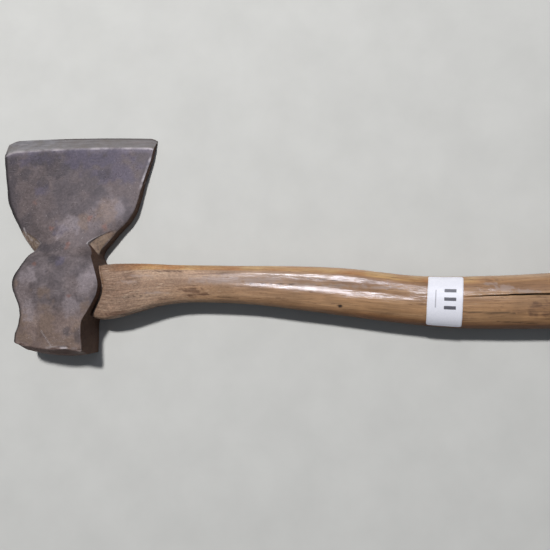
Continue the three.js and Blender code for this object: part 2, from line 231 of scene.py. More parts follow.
def noise(points, size, seed=0):
    """Smooth noise in -1..1 at points, with lumps about size across."""
    scaled = points / np.asarray(size, float)
    cell = np.floor(scaled).astype(np.int64)
    f = scaled - cell
    f = f * f * (3 - 2 * f)
    total = np.zeros(len(points))
    for corner in range(8):
        step = np.array([corner & 1, corner >> 1 & 1, corner >> 2 & 1])
        weight = np.prod(np.where(step, f, 1 - f), axis=1)
        total += weight * lattice(*(cell + step).T, seed)
    return total


def fractal(points, size, octaves=3, seed=0):
    """Noise with ever finer lumps added to it, each octave half as large and half as strong."""
    size = np.asarray(size, float)
    total, share = np.zeros(len(points)), 1.0
    for octave in range(octaves):
        total += share * noise(points, size / 2**octave, seed + 17 * octave)
        share *= 0.5
    return total


def ring_skin(rings, fan_start=True):
    """Points and faces of rings of equal length, each joined to the next. A fan closes the last
    ring, and the first one too with fan_start."""
    rings = np.array(rings)
    count, sides = rings.shape[:2]
    side = np.arange(sides)
    after = (side + 1) % sides
    first = np.arange(count - 1)[:, None] * sides
    a, b = (first + side).ravel(), (first + after).ravel()
    faces = np.stack([a, b, b + sides, a + sides], axis=1).tolist()
    points = [rings.reshape(-1, 3)]
    middle, last = count * sides, (count - 1) * sides
    if fan_start:
        points.append(rings[0].mean(axis=0, keepdims=True))
        faces += [[s, middle, t] for s, t in zip(side.tolist(), after.tolist())]
        middle += 1
    points.append(rings[-1].mean(axis=0, keepdims=True))
    faces += [[last + s, last + t, middle] for s, t in zip(side.tolist(), after.tolist())]
    return np.concatenate(points), faces


def outline_at(x, y, z):
    """The points of an outline that lies across the haft at x."""
    return np.stack(np.broadcast_arrays(x, y, z), axis=1)


def add_object(name, data):
    obj = bpy.data.objects.new(name, data)
    bpy.context.scene.collection.objects.link(obj)
    return obj


def make_object(name, points, faces):
    """A mesh object from points in millimetres."""
    mesh = bpy.data.meshes.new(name)
    mesh.from_pydata((np.asarray(points) * MM).tolist(), [], faces)
    mesh.validate()
    return add_object(name, mesh)


def loft(name, rings):
    """A closed mesh object through rings of points."""
    return make_object(name, *ring_skin(rings))


def read(rows, field, columns, kind=np.float32):
    """One of a mesh's own tables of numbers."""
    flat = np.empty(len(rows) * columns, kind)
    rows.foreach_get(field, flat)
    return flat.reshape(-1, columns)


def points_of(mesh):
    """A mesh's points in millimetres."""
    return read(mesh.vertices, "co", 3).astype(float) / MM


def set_points(mesh, points):
    mesh.vertices.foreach_set("co", (points * MM).astype(np.float32).ravel())
    mesh.update()


def normals_of(mesh):
    return read(mesh.vertex_normals, "vector", 3).astype(float)


def edges_of(mesh):
    return read(mesh.edges, "vertices", 2, np.int32)


def neighbour_mean(values, edges):
    """The mean of each vertex's neighbours, for numbers or points."""
    values = values if values.ndim == 2 else values[:, None]
    a, b = edges.T
    n = len(values)
    degree = np.maximum(np.bincount(a, minlength=n) + np.bincount(b, minlength=n), 1)
    columns = [
        np.bincount(a, values[b, k], n) + np.bincount(b, values[a, k], n)
        for k in range(values.shape[1])
    ]
    return np.stack(columns, axis=1) / degree[:, None]


def relax(mesh, weight, rounds):
    """Rounds off a mesh's corners by moving vertices towards their neighbours."""
    points, edges = points_of(mesh), edges_of(mesh)
    for _ in range(rounds):
        points += (neighbour_mean(points, edges) - points) * weight(points)[:, None]
    set_points(mesh, points)


def bulge_of(mesh):
    """How far each vertex stands out of its neighbours: positive on edges, negative in creases."""
    points, edges, normals = points_of(mesh), edges_of(mesh), normals_of(mesh)
    value = ((points - neighbour_mean(points, edges)) * normals).sum(axis=1)
    for _ in range(2):
        value = 0.5 * value + 0.5 * neighbour_mean(value, edges)[:, 0]
    return value


def paint(mesh, name, values):
    """Stores a number or a vector for each vertex, for the material to read."""
    values = np.asarray(values, np.float32)
    kind, field = ("FLOAT", "value") if values.ndim == 1 else ("FLOAT_VECTOR", "vector")
    mesh.attributes.new(name, kind, "POINT").data.foreach_set(field, values.ravel())


def cut(obj, tools, operation="DIFFERENCE"):
    """Cuts or joins obj with other objects, which are used up."""
    for tool in tools:
        modifier = obj.modifiers.new("cut", "BOOLEAN")
        modifier.operation = operation
        modifier.solver = "MANIFOLD"
        modifier.object = tool
    graph = bpy.context.evaluated_depsgraph_get()
    mesh = bpy.data.meshes.new_from_object(obj.evaluated_get(graph), depsgraph=graph)
    obj.modifiers.clear()
    obj.data = mesh
    for tool in tools:
        bpy.data.objects.remove(tool)


def copy_of(obj, name):
    """A second object with a mesh of its own."""
    return add_object(name, obj.data.copy())


def place(obj, slot, node, material, sharp_angle=None):
    """Makes a finished mesh a piece of the axe in place of a CAD node, with smooth shading but for
    edges over sharp_angle."""
    obj.data.materials.clear()
    obj.data.materials.append(material)
    obj.data.polygons.foreach_set("use_smooth", [True] * len(obj.data.polygons))
    if sharp_angle is not None:
        obj.data.set_sharp_from_angle(angle=math.radians(sharp_angle))
    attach(obj, BODY)
    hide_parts(node)


# ---- The head ----

right_rim = Line(RIGHT_RIM, 1.6)
left_rim = Line(LEFT_RIM, 1.6)
crest_line = Line(CREST, 4)
rim_line = Line(RIM_HEIGHT, 3)
left_chamfer = Line(LEFT_CHAMFER, 3)
poll_top = Line(POLL_TOP, 1.5)
poll_end = Line(POLL_END, 3)
right_chamfer = Line(RIGHT_CHAMFER, 3)


def edge_bow(x):
    """How far the cutting edge bows back at x: a gentle arc, a rounded toe and a sharp heel."""
    arc = 1.7 * ((x - 5) / 77) ** 2
    return arc + 3.4 * ramp(-60, -72.4, x) ** 2 + 2.4 * ramp(74, 82, x) ** 2


def bent_y(row, x, z=HEAD_TOP):
    """The real y of points on row, where the rows bend near both ends of the head."""
    edge = edge_bow(x) * ramp(BEND_Y, HEEL_Y, row)
    tilt = HEEL_TILT * x * ramp(BEND_Y, HEEL_Y, row) * ramp(EDGE_Y, HEEL_Y, row)
    poll = lerp(poll_top(x), poll_end(x), smooth_ramp(39, 22, z))
    return row - edge + tilt + poll * ramp(POLL_BEND_Y, POLL_Y, row)


def face_height(row, x):
    """The height of the face between the rims: nearly flat over the eye, crowned on the blade."""
    left, right = left_rim(row), right_rim(row)
    off = np.minimum(1, np.abs((2 * x - left - right) / (right - left)))
    body_row = np.minimum(row, HEEL_Y)
    crest, rim = crest_line(body_row), rim_line(body_row)
    from_left = np.clip(x - left, 0, LEFT_ROUNDING)
    rounding = LEFT_ROUNDING - np.sqrt(LEFT_ROUNDING**2 - (LEFT_ROUNDING - from_left) ** 2)
    block = crest - EDGE_DROP * off**3 - rounding
    blade = lerp(crest, rim, off**CROWN_POWER)
    height = lerp(block, blade, smooth_ramp(NOTCH_Y - 4, NECK_Y, row))
    return lerp(height, EDGE_THICKNESS, ramp(HEEL_Y, EDGE_Y, row))


def side_lines(row, side):
    """One side's rim, foot, lip and top points on a row, as (x, z): the rim, the foot of the eye
    block's wall, the wall's upper edge, and the edge of the middle part of the face."""
    rim_line_x, band_line = (right_rim, right_chamfer) if side > 0 else (left_rim, left_chamfer)
    rim_x, notch_x = rim_line_x(row), rim_line_x(NOTCH_Y)
    neck_x = NECK_RIGHT if side > 0 else NECK_LEFT
    rim_z = rim_line(min(row, HEEL_Y))
    edge = ramp(HEEL_Y, EDGE_Y, row)
    if row <= NECK_Y:
        t = ramp(NOTCH_Y, NECK_Y, row)
        foot_x = rim_x if row <= NOTCH_Y else lerp(notch_x, neck_x, t)
        foot_z = lerp(FOOT_HEIGHT, NECK_FOOT, t)
        lip_x = foot_x - side * TOP_BAND
        top_x = lip_x - side * 1.5
    else:
        out = ramp(NECK_Y, SHOULDER_Y, row)
        band = band_line(row)
        foot_x = lerp(neck_x, rim_x - side * band, out)
        step = face_height(NECK_Y, neck_x) - NECK_FOOT
        foot_z = face_height(row, foot_x) - step * (1 - out) ** 1.3
        lip_x = foot_x - side * TOP_BAND * lerp(1, 0.5, out)
        top_x = neck_x - side * (TOP_BAND + 1.5 - FACE_FAN * ramp(NECK_Y, EDGE_Y, row))
        rim_z = lerp(rim_z, EDGE_THICKNESS, edge) - 0.5 * out * (1 - edge) * (band - 0.8)
    return (
        (rim_x, rim_z), (foot_x, foot_z), (lip_x, face_height(row, lip_x)),
        (top_x, face_height(row, top_x)),
    )


BAND_STEPS, FLANK_STEPS, FACE_STEPS, WALL_STEPS = 8, 40, 60, 10


def strip(a, b, steps):
    """Steps along a straight stretch from a to b, without its far end."""
    return [(lerp(a[0], b[0], k / steps), lerp(a[1], b[1], k / steps)) for k in range(steps)]


def half_row(row, side):
    """The points from one side's rim up to the middle part of the face. The wall's upper edge
    always falls on a point, so it stays crisp."""
    rim, foot, lip, top = side_lines(row, side)
    wall = math.hypot(lip[0] - foot[0], lip[1] - foot[1])
    slope = math.hypot(top[0] - lip[0], top[1] - lip[1])
    wall_steps = int(np.clip(round(FLANK_STEPS * wall / (wall + slope)), 3, FLANK_STEPS - 3))
    slope_steps = FLANK_STEPS - wall_steps
    points = strip(rim, foot, BAND_STEPS) + strip(foot, lip, wall_steps)
    across = [lerp(lip[0], top[0], k / slope_steps) for k in range(slope_steps)]
    return points + [(x, float(face_height(row, x))) for x in across]


def face_row(row):
    """The points over one row, from the left rim over the face to the right rim."""
    top_l, top_r = side_lines(row, -1)[3], side_lines(row, 1)[3]
    middle = np.linspace(top_l[0], top_r[0], FACE_STEPS + 1)
    face = [(x, float(face_height(row, x))) for x in middle]
    line = np.array(half_row(row, -1) + face + half_row(row, 1)[::-1])
    x, z = line.T
    return np.stack([x, bent_y(row, x, z), z], axis=1)


def head_rows():
    """The rows across the head: finer at the poll's end and down the cutting bevel."""
    poll = POLL_Y + np.array([0, 0.4, 0.9, 1.5, 2.2, 3])
    body = np.arange(POLL_Y + 4, HEEL_Y - 0.5, 1.0)
    bevel = np.linspace(HEEL_Y, EDGE_Y, 15)
    return np.concatenate([poll, body, [HEEL_Y - 0.5], bevel])


def head_ring(row):
    """One closed ring round the head: over the face, down the right wall, back and up the left."""
    face = face_row(row)
    left, right = face[0], face[-1]
    back = outline_at(np.linspace(left[0], right[0], len(face)), 0.0, 0.0)
    down = np.linspace(right, back[-1], WALL_STEPS + 1)[1:-1]
    up = np.linspace(back[0], left, WALL_STEPS + 1)[1:-1]
    ring = np.concatenate([face, down, back[::-1], up])
    ring[:, 1] = bent_y(row, ring[:, 0], ring[:, 2])
    return ring


def poll_cap(ring):
    """Rings that close the poll's end, slightly domed."""
    middle = ring.mean(axis=0)
    caps = []
    for share in np.linspace(0, 1, 33)[1:-1] ** 1.25:
        loop = lerp(ring, middle, share)
        dome = POLL_BULGE * (1 - (1 - share) ** 4)
        loop[:, 1] = bent_y(POLL_Y, loop[:, 0], loop[:, 2]) - dome
        caps.append(loop)
    return caps


def head_blank():
    """The whole head as one closed mesh, before the eye and the laid steel are cut."""
    rings = [head_ring(row) for row in head_rows()[::-1]]
    sides = len(rings[0])
    points, faces = ring_skin(rings + poll_cap(rings[-1]), fan_start=False)

    # The cutting edge: the first ring's face and back are joined, and so are its two walls.
    count = BAND_STEPS * 2 + FLANK_STEPS * 2 + FACE_STEPS + 1
    back_start = count + WALL_STEPS - 1
    lower = [back_start + count - 1 - k for k in range(count)]
    left_wall = [(back_start + count + k) % sides for k in range(WALL_STEPS - 1)]
    right_wall = [back_start - 1 - k for k in range(WALL_STEPS - 1)]
    faces += [[k + 1, k, lower[k], lower[k + 1]] for k in range(count - 1)]
    faces.append([0, *left_wall[::-1], lower[0]])
    faces.append([lower[-1], *right_wall, count - 1])
    return make_object("head_body", points, [face[::-1] for face in faces])


def eye_ring(x, wider=0.0, higher=0.0):
    """The outline of the eye at x."""
    across, up = superellipse(EYE_TURNS, EYE_HALF_HEIGHT + wider, EYE_HALF_WIDTH + higher)
    return outline_at(x, EYE_Y + across, EYE_Z + up)


def eye_cutter():
    """The eye, right through the head along X, a little wider at its mouths."""
    rings = []
    for x in np.linspace(-EYE_REACH, EYE_REACH, 61):
        flare = 0.9 * smooth_ramp(22, 40, abs(x))
        rings.append(eye_ring(x, flare * 0.4, flare * 0.2))
    return loft("eye_cutter", rings)


def bit_cutter(grow):
    """The space of the laid steel: a plate on the back with a scarfed end."""
    top, back, far = BIT_THICKNESS + grow, BIT_BACK_Y - grow, EDGE_Y + 5
    y, z = np.array([(back, -2), (back, 0.6), (back + BIT_SCARF, top), (far, top), (far, -2)]).T
    return loft("bit_cutter", [outline_at(x, y, z) for x in (100, -100)])


# Hollows and lumps left by the hammer and by use, as (x, y, radius in x, radius in y, depth).
DENTS = [
    (-9, 36, 15, 5, 0.55), (-8.9, 13, 1.8, 1.2, 0.7), (-26, -20, 9, 12, 0.35),
    (12, -30, 10, 16, 0.3), (-36, 110, 14, 12, 0.25), (30, 105, 16, 14, 0.25),
    (-5, 75, 18, 10, 0.3), (4, 60, 14, 9, -0.3), (24, 10, 9, 8, 0.3), (-14, -50, 8, 5, 0.3),
    (45, 125, 12, 7, 0.2), (-48, 84, 10, 9, 0.25), (18, -52, 7, 4, 0.3), (-2, 2, 10, 7, -0.2),
    (50, 86, 9, 12, 0.25), (-20, 128, 12, 6, 0.15), (-30, 4, 5, 5, 0.3),
]


def forging(points, normals):
    """How far the hammer, rust and use have pushed each point of the head out or in."""
    x, y, z = points.T
    steep = np.abs(normals[:, 2])
    blade = smooth_ramp(EDGE_Y - 1, HEEL_Y - 5, y)
    back = smooth_ramp(1.5, 0.2, z)
    push = 0.32 * fractal(points, 17, 2, 3) + 0.1 * fractal(points, 5.5, 2, 8)
    face_up = ramp(0.3, 0.8, normals[:, 2])
    for dent_x, dent_y, rx, ry, depth in DENTS:
        reach = ((x - dent_x) / rx) ** 2 + ((y - dent_y) / ry) ** 2
        push -= depth * np.exp(-1.5 * reach) * face_up
    pits = smooth_ramp(0.42, 0.8, fractal(points, (2.6, 2.2, 2.4), 2, 21))
    push -= 0.16 * pits * smooth_ramp(-0.1, 0.5, fractal(points, 24, 2, 31))
    push *= lerp(1, 0.25, back) * lerp(0.12, 1, blade)
    push += 0.25 * smooth_ramp(0.6, 0.2, steep) * blade * fractal(points, 9, 2, 5)
    beaten = smooth_ramp(-44, -60, y) * smooth_ramp(20, 40, z) * smooth_ramp(0.5, 0.1, steep)
    return push + 0.9 * beaten * (0.7 + 0.4 * noise(points, 7, 12))


def forge_surface(obj):
    """Rounds the head's edges and gives it the unevenness of forging and use."""
    mesh = obj.data

    def soften(points):
        return 0.5 * (1 - smooth_ramp(HEEL_Y - 4, HEEL_Y - 1, points[:, 1]))

    relax(mesh, soften, 2)
    points, normals = points_of(mesh), normals_of(mesh)
    points += normals * forging(points, normals)[:, None]
    chips = smooth_ramp(0.1, 0.7, noise(points, (6, 4, 5), 44))
    burr = smooth_ramp(1.6, 0.2, np.abs(points[:, 1] - bent_y(POLL_Y, points[:, 0]) - 0.6))
    points[:, 2] -= 0.8 * chips * burr * smooth_ramp(34, 40, points[:, 2])
    points[:, 2] = np.clip(points[:, 2], 0, HEAD_TOP + 0.5)
    set_points(mesh, points)


def spot(points, x, y, rx, ry, rough=0.5, seed=0):
    """A soft patch round (x, y), with an edge broken up by noise."""
    reach = np.hypot((points[:, 0] - x) / rx, (points[:, 1] - y) / ry)
    ragged = reach + rough * fractal(points, 0.5 * min(rx, ry) + 1.5, 3, 60 + seed)
    return smooth_ramp(1.25, 0.45, ragged)


# Patches of colour on the face, as (x, y, radius in x, radius in y).
RUST_SPOTS = [
    (22, 66, 2.4, 3.4), (36, 58, 2.6, 3.6), (5, 39.5, 2.4, 4.5), (-35, 82, 3.6, 3), (40, 51, 3, 2.4),
    (-14, 56, 3, 2.5), (14, -10, 2, 1.6), (-22, 20, 1.8, 1.6),
    (38, 141, 2, 1.4), (62, 145, 3, 2), (-41, -54, 7, 4), (-28, -60, 10, 2.4),
]
# Dark patches: the iron's own, and painted shade on the hollow of the neck and down the left of the
# blade.
DARK_AND_SHADE_SPOTS = [
    (-52, 112, 8, 9), (-17, 120, 15, 12), (-9, 36, 18, 6), (-8.9, 13, 2, 1.4), (-34, 126, 12, 7),
    (34, 112, 9, 6), (-25, 40, 4, 5), (-6, 24, 6, 4), (-62, 92, 6, 22), (12, -42, 4, 4),
    (-64, 122, 6, 12), (-30, 104, 7, 9), (-26, 132, 18, 4), (25, -46, 8, 9),
]
BLUE_SPOTS = [
    (22, 128, 44, 12), (-4, 56, 11, 8), (-44, 128, 26, 7), (44, 112, 26, 12), (2, 22, 6, 5),
    (-30, 96, 8, 7),
]
BROWN_SPOTS = [
    (-6, -34, 7, 20), (10, -52, 20, 7), (-28, -48, 9, 7), (22, -42, 5, 14), (16, 62, 5, 10),
    (-30, -30, 5, 7), (30, -20, 6, 6), (36, 72, 10, 16), (-12, -8, 8, 6), (-38, 2, 3, 6),
]
# Pale patches: the iron's own, and a painted sheen by the right lug of the eye, at the neck and on the
# right of the blade.
PALE_AND_SHEEN_SPOTS = [
    (0, 58, 12, 10), (28, 3, 9, 14), (-26, 8, 8, 9), (40, 76, 12, 16), (16, -22, 10, 9),
    (-24, -26, 6, 10), (10, 60, 12, 8),
]
# The stretches where the burr along the top of the cutting bevel and its painted highlights are
# brightest, as (middle x, half length).
HEEL_GLINT_STRETCHES = [(-62, 10), (-42, 7), (-17.5, 6), (24, 10), (56, 10), (72, 12)]
# Bright scratches and rubbed edges on the face, as (start, end, width, strength).
BRIGHT_LINES = [
    ((-11, -42), (-0.6, -57), 0.6, 0.65), ((-34, 33), (-27, 40), 0.9, 0.75),
    ((-46, 57.5), (-43.5, 51), 1.4, 0.85), ((-41, 50), (-37, 45), 0.9, 0.6),
    ((77, 118), (72, 104), 0.8, 0.6), ((-32, 44), (-28, 41), 1.2, 0.5),
]
# Widths of the painted shade down the rounded left outline, as (y, width).
LEFT_SHADE_WIDTH = [
    (-61, 2.4), (-30, 3), (0, 4), (20, 3.6), (34, 1.4), (46, 2), (56, 4.8), (66, 5.2),
    (80, 4), (100, 3.2), (139, 2.6),
]
left_shade_width = Line(LEFT_SHADE_WIDTH, 3)


def spots(points, places, seed):
    """All of a table's soft patches."""
    found = [spot(points, *place, 0.55, seed + k) for k, place in enumerate(places)]
    return np.maximum.reduce(found)


def scratch(points, a, b, width):
    """A thin straight mark from a to b on the face."""
    a, b = np.array(a, float), np.array(b, float)
    along = np.clip(((points[:, :2] - a) @ (b - a)) / ((b - a) @ (b - a)), 0, 1)
    off = np.linalg.norm(points[:, :2] - (a + along[:, None] * (b - a)), axis=1)
    return smooth_ramp(width, 0.2 * width, off)


def side_line_x(y, side, which):
    """The x at each y of one of a side's lines: 1 for the foot of the wall, 2 for its lip."""
    rows = np.arange(NOTCH_Y - 2, SHOULDER_Y + 3, 0.5)
    return np.interp(y, rows, [side_lines(row, side)[which][0] for row in rows])


def facet_mask(x, y):
    """1 on the dusty facets outside the ends of the eye block's walls, at the neck."""
    off = np.maximum(side_line_x(y, -1, 1) - x, x - side_line_x(y, 1, 1))
    top = SHOULDER_Y - 3 * (x > 0)
    return smooth_ramp(-0.9, 0.3, off) * smooth_ramp(27, 30, y) * smooth_ramp(top + 3, top - 4, y)


def lip_mask(x, y, side, fade_from, fade_to):
    """1 along the rubbed lip over one facet, fading out up the blade."""
    along = smooth_ramp(NECK_Y - 1.5, NECK_Y + 0.5, y) * smooth_ramp(fade_to, fade_from, y)
    return smooth_ramp(1.5, 0.6, np.abs(x - side_line_x(y, side, 2))) * along


def rubbed_bright_and_glint(points, up, bulge, gaps, stretch):
    """Where the head is rubbed bright: its sharp edges, the burr, scratches and the poll's end. The
    burr along the heel also carries a painted highlight.
    """
    x, y, z = points.T
    from_right = right_rim(np.clip(y, POLL_Y, HEEL_Y)) - x
    # The burr along the heel: rubbed bright, with a painted highlight on top.
    heel_glint = smooth_ramp(1.7, 0.5, np.abs(y - bent_y(HEEL_Y, x) + 0.3)) * ramp(2, 6, z)
    on_rim = smooth_ramp(2.6, 1.2, from_right) * smooth_ramp(94, 104, y) * smooth_ramp(134, 126, y)
    on_poll = smooth_ramp(2.4, 0.6, np.abs(y - bent_y(POLL_Y, x) - 0.5)) * smooth_ramp(-12, 8, x)
    marks = [share * scratch(points, a, b, width) for a, b, width, share in BRIGHT_LINES]
    flat = np.maximum.reduce([
        heel_glint * lerp(0.6, 1, gaps) * np.clip(0.35 + 0.65 * stretch, 0, 1),
        0.7 * on_rim * lerp(0.3, 1, gaps),
        on_poll * smooth_ramp(-0.3, 0.4, noise(points, (5, 5, 5), 19)),
        *marks,
    ])
    return np.maximum(0.8 * smooth_ramp(0.06, 0.24, bulge) * (z > 1), flat * up)


def paint_head(mesh):
    """Stores where the head is worn, dusty, rusty, blued and so on, and where shade and highlights are
    painted on it, for its material.
    """
    points, normals, bulge = points_of(mesh), normals_of(mesh), bulge_of(mesh)
    x, y, z = points.T
    row = np.clip(y, POLL_Y, HEEL_Y)
    up = ramp(0.2, 0.8, normals[:, 2])
    heel = bent_y(HEEL_Y, x)
    stretch = sum(np.exp(-(((x - middle) / half) ** 4)) for middle, half in HEEL_GLINT_STRETCHES)
    gaps = smooth_ramp(-0.5, 0.3, fractal(points, (7, 6, 6), 2, 77))
    # Some of the dark patches are painted shade, and some of the pale ones a painted sheen.
    for name, places, seed in (
        ("rust", RUST_SPOTS, 1), ("dark", DARK_AND_SHADE_SPOTS, 20), ("blue", BLUE_SPOTS, 40),
        ("brown", BROWN_SPOTS, 60), ("pale", PALE_AND_SHEEN_SPOTS, 80),
    ):
        paint(mesh, name, spots(points, places, seed) * up)

    facet = facet_mask(x, y) * ramp(0.25, 0.6, normals[:, 2])
    paint(mesh, "dust", facet)
    # Painted shade in the creases, mostly left off the right facet.
    paint(mesh, "crease_shade", smooth_ramp(-0.05, -0.22, bulge) * (1 - 0.8 * facet * (x > 0)))
    # Painted shade: a dark band down the rounded left outline of the face.
    left_edge_shade = smooth_ramp(1.4, 0.5, (x - left_rim(row)) / left_shade_width(row))
    left_edge_shade *= smooth_ramp(140, 134, y) * (1 - facet)
    paint(mesh, "edge_shade", left_edge_shade)
    lip = np.maximum(0.95 * lip_mask(x, y, 1, 45, 53), 0.5 * lip_mask(x, y, -1, 42, 46))
    paint(mesh, "wear_and_glint", np.maximum(rubbed_bright_and_glint(points, up, bulge, gaps, stretch), lip))
    # The walls are darkened: by dirt all round, and by painted shade that is heavier on the right-hand
    # walls.
    wall = smooth_ramp(0.5, 0.2, np.abs(normals[:, 2])) * lerp(0.55, 1, smooth_ramp(-20, 5, x))
    paint(mesh, "wall", wall * (1 - left_edge_shade) * (1 - np.minimum(1, 1.6 * lip)))
    # Painted shade over the red-brown rust of the poll's end, which faces away from the key lamp.
    poll_end = smooth_ramp(-0.2, -0.6, normals[:, 1]) * smooth_ramp(-46, -52, y)
    paint(mesh, "poll_end", poll_end * smooth_ramp(30, 10, x))

    # The ground bevel, and the painted highlights along the top of the bevel: a bright strip above the
    # heel and a lilac one below it.
    paint(mesh, "ground", smooth_ramp(-0.4, 0.6, y - heel) * (normals[:, 2] > 0.3))
    # Painted highlight on the bevel just above the heel.
    bevel_highlight = smooth_ramp(5, 0, np.abs(y - heel)) * (y > heel) * gaps
    paint(mesh, "bevel_highlight", bevel_highlight * smooth_ramp(10, -50, x))
    paint(mesh, "tip", smooth_ramp(1.8, 0.6, bent_y(EDGE_Y, x) - y) * smooth_ramp(-34, -14, x))
    # Painted lilac highlight on the face just below the heel.
    lilac_highlight = smooth_ramp(8, 0, heel - y) * (y < heel) * up
    paint(mesh, "lilac_highlight", lilac_highlight * np.clip(0.3 + stretch, 0, 1))


def build_head(iron, steel):
    """The forged head and its laid steel, cut from one blank so that they meet."""
    blank = head_blank()
    cut(blank, [eye_cutter()])
    forge_surface(blank)
    bit = copy_of(blank, "steel_bit")
    cut(bit, [bit_cutter(0)], "INTERSECT")
    cut(blank, [bit_cutter(JOINT_GAP)])
    paint_head(blank.data)
    paint_head(bit.data)
    place(blank, "forged_iron", "head_body", iron, 50)
    place(bit, "edge_steel", "steel_bit", steel, 50)


# ---- The haft ----

haft_x, haft_top, haft_bottom, haft_depth = np.array(HAFT, float).T
top_line = Line(list(zip(haft_x, haft_top)), 9)
bottom_line = Line(list(zip(haft_x, haft_bottom)), 9)
depth_line = Line(list(zip(haft_x, haft_depth)), 9)

HAFT_SIDES = 144
CRACK_SIDES = 22  # of them, the ones kept close beside the drying crack
CRACK_REACH = 5.0
CRACK = {"start": 360, "end": 545, "depth": 3.2, "half_width": 0.85}
CRACK_LINE = ((360, 380, 402, 440, 545), (-12.4, -11, -9.6, -9.0, -7.5))  # its x, and its y
SHOULDER_STEPS = ((0, 1.1), (0, 0.8), (0.25, 0.35), (0.7, 0.1))  # its rounding: run and inset


def crack_y(x):
    """Where the drying crack runs on the front of the haft."""
    slow = noise(np.array([[x, 0.0, 0.0]]), 21, 5)[0]
    quick = noise(np.array([[x, 3.0, 0.0]]), 6, 6)[0]
    return np.interp(x, *CRACK_LINE) + (slow * 0.5 + quick * 0.25)


def haft_turns(x):
    """The ring's angles at x, drawn together along the line of the crack."""
    half = haft_half(x)
    centre = math.acos(np.clip((crack_y(x) - haft_middle(x)) / half, -1, 1))
    reach = CRACK_REACH / half
    near = signed_power(np.linspace(-1, 1, CRACK_SIDES), 1.7) * reach
    rest = HAFT_SIDES - CRACK_SIDES
    step = (2 * math.pi - 2 * reach) / (rest + 1)
    far = reach + step * np.arange(1, rest + 1)
    return centre + np.concatenate([near, far])


def haft_middle(x):
    """The y of the middle of the haft at x."""
    x = np.clip(x, haft_x[0], haft_x[-1])
    return (top_line(x) + bottom_line(x)) / 2


def haft_half(x):
    """Half the haft's height along Y at x."""
    x = np.clip(x, haft_x[0], haft_x[-1])
    return (top_line(x) - bottom_line(x)) / 2


def haft_height(points):
    """Where points stand across the haft: -1 at its lower edge, 1 at its top edge."""
    return (points[:, 1] - haft_middle(points[:, 0])) / haft_half(points[:, 0])


def shoulder_x(y):
    """The lug's outline that the haft's shoulder is scribed to."""
    return right_rim(np.clip(y, -34, 26)) + LUG_CLEARANCE


def haft_power(x, turn):
    """How square the haft is: its lower half is left blocky where it swells out to the lug."""
    blocky = smooth_ramp(*BLOCKY_FADE, x) * ramp(0, -0.7, np.cos(turn))
    return lerp(OVAL_POWER, BLOCKY_POWER, blocky)


def haft_ring(x, inset=0.0):
    """The haft's outline at x, set in by so much, with its shoulder scribed to the lug."""
    turn = haft_turns(x)
    half_across, half_up = haft_half(x) - inset, depth_line(x) / 2 - inset
    across, up = superellipse(turn, half_across, half_up, haft_power(x, turn))
    y = haft_middle(x) + across
    fade = 1 - smooth_ramp(*SHOULDER_FADE, x)
    return outline_at(x + (shoulder_x(y) - SHOULDER_FADE[0]) * fade, y, HAFT_MIDDLE_Z + up)


def tenon_ring(share, inset=TENON_GAP):
    """A ring of the tenon, from the wedged end at share 0 to the scribed shoulder at 1."""
    turn = haft_turns(SHOULDER_FADE[0])
    across, up = superellipse(turn, EYE_HALF_HEIGHT - inset, EYE_HALF_WIDTH - inset)
    y = EYE_Y + across
    return outline_at(lerp(TENON_END_X, shoulder_x(y) + 0.1, share), y, EYE_Z + up)


def haft_rings():
    """All the rings of the haft, from the tenon's wedged end to the rounded grip end."""
    end = tenon_ring(0, 0.5)
    rings = [lerp(end, end.mean(axis=0), 1 - share) for share in np.linspace(0.05, 1, 14)]
    rings += [tenon_ring(share) for share in np.linspace(0.008, 1, 44)]
    start = SHOULDER_FADE[0]
    rings += [haft_ring(start + run, inset) for run, inset in SHOULDER_STEPS]
    rings += [haft_ring(x) for x in np.arange(start + 1.6, GRIP_END_X - HAFT_ROUNDING, 1.5)]
    for turn in np.linspace(0, math.pi / 2, 14):
        x = GRIP_END_X - HAFT_ROUNDING * (1 - math.sin(turn))
        rings.append(haft_ring(x, HAFT_ROUNDING * (1 - math.cos(turn))))
    last = rings[-1]
    return rings + [lerp(last, last.mean(axis=0), share) for share in np.linspace(0, 1, 14)[1:-1]]


def crack_depth(points):
    """How deep the drying crack is under each point of the haft's front."""
    x, y, z = points.T
    start, end = CRACK["start"], CRACK["end"]
    near = (x > start) & (x < end) & (z > HAFT_MIDDLE_Z)
    x, y = x[near], y[near]
    grow = smooth_ramp(start, 430, x) * smooth_ramp(end, 505, x)
    width = CRACK["half_width"] * (0.4 + 0.6 * grow)
    groove = np.clip(1 - np.abs(y - np.array([crack_y(v) for v in x])) / width, 0, 1)
    groove *= smooth_ramp(start, start + 12, x)
    depth = np.zeros(len(points))
    depth[near] = CRACK["depth"] * (0.25 + 0.75 * grow) * groove
    return depth


def fibre_space(points):
    """Coordinates that run with the grain, so that it follows the haft's curve most of the way."""
    x, y, z = points.T
    return np.stack([x, y - 0.72 * haft_middle(x), z], axis=1)


def swell(points):
    """The long shallow flats of a haft shaved by hand."""
    return 0.3 * fractal(points, (55, 14, 14), 2, 4)


def shaving(points):
    """The hollow and the ridge shaved along the front, which part its gloss into two streaks."""
    x, _, z = points.T
    height = haft_height(points)
    hollow = 0.85 * np.exp(-(((height - 0.11) / 0.17) ** 2)) * smooth_ramp(350, 300, x)
    crest = np.interp(x, [220, 290], [0.6, 0.72])
    breadth = np.interp(x, [220, 290], [0.13, 0.27])
    ridge = 5.4 * breadth * np.exp(-(((height - crest) / breadth) ** 2)) * smooth_ramp(345, 300, x)
    return (ridge - hollow) * smooth_ramp(150, 195, x) * smooth_ramp(0, 6, z - HAFT_MIDDLE_Z)


